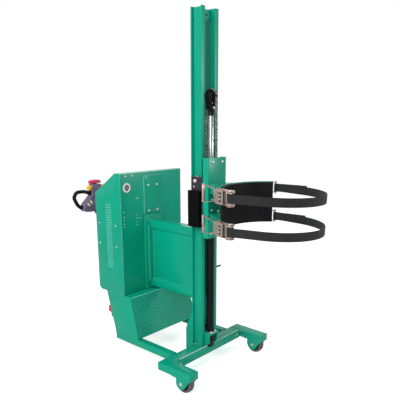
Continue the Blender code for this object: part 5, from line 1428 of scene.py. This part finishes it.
def buildLoops():
    t = tiller
    middle = t["front"] + t["depth"] / 2
    high, low, reach = headZ(0.68), headZ(0.19), t["loopReach"]
    stem, flare = t["stem"], t["flare"]
    route = [(stem + 0.3, high), (stem + 8, high + 0.5), (stem + 20, high + 3), (stem + 55, high + 15),
             (reach - 46, high + 17), (reach - 20, high + 10), (reach - 5, high - 10), (reach - 1, high - 28),
             (reach - 12, low + 50), (reach - 28, low + 22), (reach - 48, low + 4), (flare + 24, low),
             (flare + 10, low), (flare + 0.3, low)]
    for side, word in bothSides:
        points = [at(side * x, middle, z) for x, z in route]
        bm = bmesh.new()
        addTube(bm, smoothPath(points, 6), t["loop"] / 1000, 24)
        for a, b, radius in ((points[0], points[1], 17.0), (points[-3], points[-4], 17.0)):
            ahead = (b - a).normalized()
            collar = [(0, 0), (radius, 0), (radius, 5), (radius - 1.2, 7.5), (14.1, 9), (0, 9)]
            addLathe(bm, facing(a, ahead), collar, 32)
        finishPiece("handLoop" + word.capitalize(), bm, "tiller", blackRubber, ["hand_loop_" + word])


def buildHeadSwitches():
    t = tiller
    middle = t["front"] + t["depth"] / 2
    low = t["top"] + 9
    bm = bmesh.new()
    cap = []
    for i in range(48):
        angle = 2 * pi * i / 48
        x, y = cos(angle), sin(angle)
        cap.append((52 * copysign(abs(x) ** 0.6, x), middle + 26 * copysign(abs(y) ** 0.6, y)))
    layers = [(6, low), (2, low + 1.2), (0, low + 4.5), (0, low + 12), (1.2, low + 16), (4, low + 20), (9, low + 23),
              (16, low + 24)]
    addPillow(bm, cap, acrossZ, layers)
    for vertex in bm.verts:  # arched across its width, as the palm meets it
        vertex.co.z -= 0.006 * (vertex.co.x / 0.052) ** 2
    addLathe(bm, upright(0, middle), [(0, t["top"] - 9), (9.7, t["top"] - 9), (9.7, low + 2), (0, low + 2)], 28)
    finishPiece("bellyCap", bm, "belly_cap", redPlastic, ["belly_button"], 40)
    y, z = middle - 8, t["paddleZ"]
    wing = polar(19.5, -150, 62, 16, (y, z)) + [(y - 4, z + 24), (y - 14, z + 27), (y - 25, z + 24), (y - 25, z + 8)]
    bm = bmesh.new()
    for side in (-1, 1):
        addSoftPrism(bm, wing, acrossX, side * (t["stem"] + 1.5), side * (t["stem"] + 27), 3.4, (), 50, 4)
    addLathe(bm, facing(at(0, y, z)), [(0, -55), (5, -55), (5, 55), (0, 55)], 20)
    finishPiece("thumbPaddles", bm, "thumb_switch", yellowPlastic, ["butterfly_switch"], 40)


# Carriage: folded channel, roller plates with their sheet guards, rollers, the strap cradle

carriage = {"half": 87.0, "front": -139.0, "depth": 44.0, "low": 908.0, "high": 1407.0, "wall": 6.0, "side": 8.0,
            "plateInner": 81.0, "plate": 8.0, "plateLow": 985.0, "plateHigh": 1287.0, "guardLow": 976.0,
            "guardHigh": 1204.0, "guardOut": 23.0, "guardFront": -85.0, "guardRear": 10.0, "rollerY": -32.0,
            "rollerZ": (1262.0, 1020.0)}


def buildCarriageChannel():
    c = carriage
    rear = c["front"] + c["depth"]
    inner = c["half"] - c["side"]
    half, front, inset = c["half"], c["front"], c["front"] + c["wall"]
    section = [(-half, front), (half, front), (half, rear), (inner, rear), (inner, inset), (-inner, inset),
               (-inner, rear), (-half, rear)]
    section = roundCorners(section, [7, 7, 1.2, 1.2, 3, 3, 1.2, 1.2], 5)
    bm = bmesh.new()
    addSoftPrism(bm, section, acrossZ, c["low"], c["high"], 0.7, (), 60)
    lug = [(c["front"] + 5.5, 1296), (-121, 1296), (-121, 1330), (c["front"] + 5.5, 1330)]
    addSoftPrism(bm, lug, acrossX, -12, 12, 1.0)
    addBeads(bm, ((12.4, c["front"] + 6.4, 1298, 12.4, c["front"] + 6.4, 1328, 2.0),))
    finishPiece("carriageChannel", bm, "carriage", greenPaint, ["carriage_channel"], 30)


def buildRollerPlates():
    c = carriage
    front = c["front"] + c["depth"] + gap
    for side, word in bothSides:
        bm = bmesh.new()
        addSoftPrism(bm, rectangle(front, c["plateLow"], 0, c["plateHigh"], 9, 5), acrossX, side * c["plateInner"],
                     side * (c["plateInner"] + c["plate"]), 1.2)
        for z in c["rollerZ"]:
            pin = facing(at(0, c["rollerY"], z), (side, 0, 0))
            addLathe(bm, pin, [(0, 54), (9.6, 54), (9.9, 55), (9.9, c["plateInner"] + 4), (0, c["plateInner"] + 4)], 28)
        finishPiece("rollerPlate" + word.capitalize(), bm, "carriage", slatePaint, ["roller_plate_" + word], 30)
        x0 = c["plateInner"] + c["plate"] - 0.6
        x1 = c["plateInner"] + c["plate"] + c["guardOut"]
        fore, aft = c["guardFront"], c["guardRear"]
        bend = [(x0, fore), (x1, fore), (x1, aft), (x0, aft), (x0, aft - 3), (x1 - 3, aft - 3), (x1 - 3, fore + 3),
                (x0, fore + 3)]
        bend = roundCorners([(side * x, y) for x, y in bend], [0.6, 4, 4, 0.6, 0.6, 1.5, 1.5, 0.6], 4)
        bm = bmesh.new()
        addSoftPrism(bm, bend, acrossZ, c["guardLow"], c["guardHigh"] - 1, 0.5, (), 60)
        x2, x3 = sorted((side * (x0 + 0.3), side * (x1 - 0.5)))
        lid = rectangle(x2, fore + 0.5, x3, aft - 0.5, 3)
        addSoftPrism(bm, lid, acrossZ, c["guardHigh"] - 3, c["guardHigh"], 1.0)
        finishPiece("rollerGuard" + word.capitalize(), bm, "carriage", guardBlack, (), 30)
        for z, height in zip(c["rollerZ"], ("upper", "lower")):
            bm = bmesh.new()
            wheel = facing(at(side * 66, c["rollerY"], z))
            tread = mirrored([(10.3, -11), (20, -11), (21, -10), (29, -10), (30, -11), (31, -10.6), (32, -9)])
            addRing(bm, wheel, tread, 44)
            finishPiece("roller" + height.capitalize() + word.capitalize(), bm, height + "_" + word + "_roller", steel,
                        ["roller_" + height + "_" + word])


cradle = {"padInner": 287.5, "pad": 24.0, "band": 8.0, "height": 76.0, "halfAngle": 54.0, "rib": 8.0,
          "ribSpacing": 44.0, "ribRoot": 75.0, "ribTip": 38.0, "gripRibs": 46, "gripDepth": 2.2,
          "levels": ((1222, "upper"), (1040, "lower"))}


def drumArc(radius, start, end, count):
    return [drumPoint(radius, start + (end - start) * i / count) for i in range(count + 1)]


def buildCradle():
    c = cradle
    inner = c["padInner"] + c["pad"] + gap
    outer, wide = inner + c["band"], c["halfAngle"]
    root = carriage["front"] - gap
    for z, word in c["levels"]:
        bm = bmesh.new()
        band = drumArc(outer, -wide, wide, 60) + drumArc(inner, wide, -wide, 60)
        addSoftPrism(bm, band, acrossZ, z - c["height"] / 2, z + c["height"] / 2, 1.0)
        edge = [drumPoint(outer - 2, c["ribTip"] * (1 - i / 16)) for i in range(33)]
        rib = edge + [(c["ribRoot"], root), (-c["ribRoot"], root)]
        for level in (z - c["ribSpacing"] / 2, z + c["ribSpacing"] / 2):
            addSoftPrism(bm, rib, acrossZ, level - c["rib"] / 2, level + c["rib"] / 2, 1.0)
            weld = [drumPoint(outer + 0.6, c["ribTip"] * 0.96 * (1 - i / 12)) for i in range(25)]
            for lift in (-c["rib"] / 2 - 0.4, c["rib"] / 2 + 0.4):
                addWeld(bm, [(x, y, level + lift) for x, y in weld], 2.0)
        for side in (-1, 1):
            x = side * (c["ribRoot"] - 12)
            face = strap["drumY"] + sqrt((outer - 2) ** 2 - x * x)
            addSoftPrism(bm, rectangle(x - 4, root, x + 4, face), acrossZ, z - c["ribSpacing"] / 2,
                         z + c["ribSpacing"] / 2, 0.6)
        start, end = inner + 2, outer + 10
        for hand in (1, -1):
            pin = onDrum(strap["lugRadius"], hand * radians(strap["lugAngle"]))
            rise = degrees(atan2(pin.y - strap["drumY"], pin.x))
            tip = polar(10, rise + hand * 110, rise - hand * 130, 24, (pin.x, pin.y))
            outline = [drumPoint(start, hand * (wide - 3)), *reversed(tip), drumPoint(end, hand * (wide - 1))]
            if hand == 1:
                addSoftPrism(bm, outline, acrossZ, z - 30, z + 30, 1.0, [circlePoints(pin.x, pin.y, 5.4, 24)], 50)
            else:
                for level in (z - 33, z + 29):
                    addSoftPrism(bm, outline, acrossZ, level, level + 4, 0.8)
        finishPiece("cradle" + word.capitalize(), bm, "carriage", greenPaint, ["cradle_" + word], 30)
    bm = bmesh.new()
    for z, word in c["levels"]:
        far = onDrum(strap["lugRadius"], -radians(strap["lugAngle"]))
        pin = Matrix.Translation(at(far.x, far.y, z))
        addLathe(bm, pin, [(0, -40), (8, -40), (9, -39), (9, -36.5), (6, -36.5), (6, 36), (9, 36), (9, 38.5), (8, 39.5),
                           (0, 40)], 24)
    finishPiece("farPins", bm, "carriage", zinc)
    bm = bmesh.new()  # rubber sheet with upright grip ribs on the face that meets the load
    low, high = c["levels"][1][0] - c["height"] / 2 + 4, c["levels"][0][0] + c["height"] / 2 - 4
    face = []
    for i in range(c["gripRibs"] + 1):
        angle = wide - 2 * wide * i / c["gripRibs"]
        for shift, depth in ((0.0, 0.0), (0.5, 0.0), (0.62, c["gripDepth"]), (0.88, c["gripDepth"])):
            turn = angle - shift * 2 * wide / c["gripRibs"]
            if turn >= -wide:
                face.append(drumPoint(c["padInner"] + depth, turn))
    addPrism(bm, drumArc(inner - 0.6, -wide, wide, 40) + face, acrossZ, low, high)
    finishPiece("cradlePad", bm, "carriage", blackRubber, ["cradle_pad"], 30)


# Supply lead of the drive: a twisted red and black pair with its plug

lead = {"x": -151.0, "plugTop": 262.0, "strand": 3.3, "twist": 0.055, "diameter": 13.6}


def buildLead():
    x, y, top = lead["x"], drive["y"], lead["plugTop"]
    start = housing["rear"] - 23
    foot = housing["bottom"]
    route = [(start, foot - 0.3), (start + 2, foot - 15), (start + 22, foot - 45), (y - 13, top + 110),
             (y + 3, top + 68), (y + 1, top + 28), (y, top + 14), (y, top - 6)]
    path = smoothPath([at(x, a, b) for a, b in route], 14)
    meshes = []
    for strand in (0, 1):
        bm = bmesh.new()
        side = Vector((1, 0, 0))
        helix = []
        for length, point, tangent in walk(path):
            across = tangent.cross(side).normalized()
            angle = 2 * pi * length / lead["twist"] + strand * pi
            helix.append(point + (side * cos(angle) + across * sin(angle)) * (lead["strand"] + 0.1) / 1000)
        addTube(bm, helix, lead["strand"] / 1000, 12)
        for face in bm.faces:
            face.material_index = strand
        meshes.append(bm)
    merged(meshes[0], meshes[1])
    piece = finishPiece("supplyLead", meshes[0], "chassis", (leadRed, blackRubber), ["power_cable"])
    bm = bmesh.new()
    addSoftPrism(bm, rectangle(x - 16, y - 22, x + 21.7, y + 22, 3), acrossZ, top - 48, top, 1.6)
    for level in (top - 40, top - 33, top - 26):
        addSoftPrism(bm, rectangle(x - 17, y - 19, x + 10, y + 19, 3), acrossZ, level, level + 3, 0.8)
    addSoftPrism(bm, rectangle(x - 11, y - 12, x + 11, y + 12, 4), acrossZ, top - 1, top + 9, 2.0)
    plug = finishPiece("leadPlug", bm, "chassis", redPlastic, (), 40)
    bm = bmesh.new()
    gland = [(7.2, foot - 22), (9, foot - 22), (10.5, foot - 6), (15, foot - 5), (15, foot - 0.2), (7.2, foot - 0.2)]
    addRing(bm, upright(x, start), gland, 32)
    finishPiece("leadGland", bm, "chassis", blackRubber)
    length = sum((b - a).length for a, b in zip(path, path[1:]))


# Round stub on the side of the mast

def buildMastFittings():
    bm = bmesh.new()
    profile = [(0, 0), (9.5, 0), (9.5, 4), (6.4, 4.5), (6.4, 60), (5.6, 61), (5.6, 70), (4.4, 72), (0, 72)]
    addLathe(bm, facing(at(77, -50, 670)), profile, 28)
    finishPiece("mastStub", bm, "chassis", blackRubber)


buildLegs()
buildBeam()
buildSideFrames()
buildBallast()
buildSpine()
print("base and spine ready")
buildHousingShell()
buildSidePanels()
buildGauge()
print("housing ready")
buildRearDeck()
buildDriveUnit()
buildTillerArm()
buildTillerHead()
buildKeys()
buildLoops()
buildHeadSwitches()
print("drive and tiller ready")
buildCarriageChannel()
buildRollerPlates()
buildCradle()
buildLead()
buildMastFittings()
print("carriage and lead ready")


# Fasteners

def buildFasteners():
    bm = bmesh.new()  # front of the carriage channel, and the rollers' bolts
    for x, z in ((-46, 1379), (46, 1379), (-53, 1084), (53, 1084), (-60, 939), (60, 939), (-8, 1169), (8, 1071),
                 (-51, 1150), (51, 1150)):
        addBolt(bm, at(x, -139, z), (0, -1, 0), 7.5)
    for side in (-1, 1):
        for y, z, size in ((-33, 1262, 11), (-24, 1226, 5)):
            addBolt(bm, at(side * 89, y, z), (side, 0, 0), size)
    finishPiece("carriageBolts", bm, "carriage", zinc)
    bm = bmesh.new()  # machine screws of the housing
    for side in (-1, 1):
        for y, z in ((692, 931), (513, 932), (692, 788), (513, 785)):
            addBolt(bm, at(side * 285, y, z), (side, 0, 0), 5.5, socket=True)
    for x in (-40, 40):
        for z in (1191, 1014):
            addBolt(bm, at(x, 448, z), (0, -1, 0), 7, socket=True)
    for x, z in ((-235, 1265), (-177, 1266)):
        addBolt(bm, at(x, 454, z), (0, -1, 0), 5.5, socket=True)
    for side in (-1, 1):
        for y in (-112, -60):
            addBolt(bm, at(side * 22, y, 252), (0, 0, 1), 5.5)
    finishPiece("housingScrews", bm, "chassis", zinc)
    bm = bmesh.new()  # pop rivets
    for x, z in ((-258, 1026), (-258, 993), (-258, 974), (-258, 947), (-258, 928), (-145, 994), (-145, 976),
                 (-145, 949), (-145, 929), (-125, 968), (-144, 1109), (-131, 1110)):
        addDome(bm, at(x, 454, z), (0, -1, 0), 4.0)
    finishPiece("panelRivets", bm, "chassis", zinc)


buildFasteners()
print("fasteners ready")


# Camera, floor and light

def eitherRay(tree, first, *others):
    rays = addNode(tree, "LightPath").outputs
    either = rays["Is %s Ray" % first]
    for other in others:
        either = mathNode(tree, "MAXIMUM", either, rays["Is %s Ray" % other])
    return either


def buildStage():
    camera = bpy.data.cameras.new("photoCamera")
    camera.lens = 44.59
    camera.sensor_width = 36.0
    camera.shift_x = -0.04126
    camera.shift_y = 0.1124
    camera.clip_end = 60
    eye = bpy.data.objects.new("photoCamera", camera)
    scene.collection.objects.link(eye)
    yaw, pitch, roll = radians(50.2), radians(-13.93), radians(0.43)
    forward = Vector((sin(yaw) * cos(pitch), cos(yaw) * cos(pitch), sin(pitch)))
    turn = forward.to_track_quat("-Z", "Y").to_matrix().to_4x4()
    eye.matrix_world = Matrix.Translation(at(-2365.6, -2107.1, 1617.5)) @ turn @ Matrix.Rotation(roll, 4, "Z")
    scene.camera = eye

    floorMesh = bpy.data.meshes.new("studioFloor")
    reach = 14.0
    corners = [(-reach, -reach, 0), (reach, -reach, 0), (reach, reach, 0), (-reach, reach, 0)]
    floorMesh.from_pydata(corners, [], [(0, 1, 2, 3)])
    floor = bpy.data.objects.new("studioFloor", floorMesh)
    scene.collection.objects.link(floor)
    paper, tree, shader = newMaterial("studioPaper", Base_Color=(0.93, 0.93, 0.93), Roughness=0.9)
    floorMesh.materials.append(paper)
    glow = addNode(tree, "Emission", Strength=times(tree, eitherRay(tree, "Camera", "Transmission"), 0.62)).outputs[0]
    lit = addFed(tree, "AddShader", (shader.outputs[0], glow))[0]
    feedNamed(tree, tree.nodes["Material Output"], {"Surface": lit})

    world = bpy.data.worlds.new("studio")
    scene.world = world
    world.use_nodes = True
    tree = world.node_tree
    level = scaled(tree, eitherRay(tree, "Camera", "Transmission", "Glossy"), 0.62, 0.38)
    feedNamed(tree, tree.nodes["Background"], {"Strength": level, "Color": (1, 1, 1)})

    lamps = (("keyLamp", (-3.6, -0.6, 3.4), 2.6, 140), ("frontLamp", (2.8, -3.5, 2.25), 0.7, 42),
             ("backLamp", (2.6, 3.4, 3.4), 2.2, 36))
    for name, place, size, power in lamps:
        lamp = bpy.data.lights.new(name, "AREA")
        lamp.shape = "SQUARE"
        lamp.size = size
        lamp.energy = power
        piece = bpy.data.objects.new(name, lamp)
        scene.collection.objects.link(piece)
        aim = Vector((0, 0, 0.9)) - Vector(place)
        piece.matrix_world = Matrix.Translation(place) @ aim.to_track_quat("-Z", "Y").to_matrix().to_4x4()
    scene.view_settings.view_transform = "Standard"


buildStage()
print("camera, floor and lamps ready")
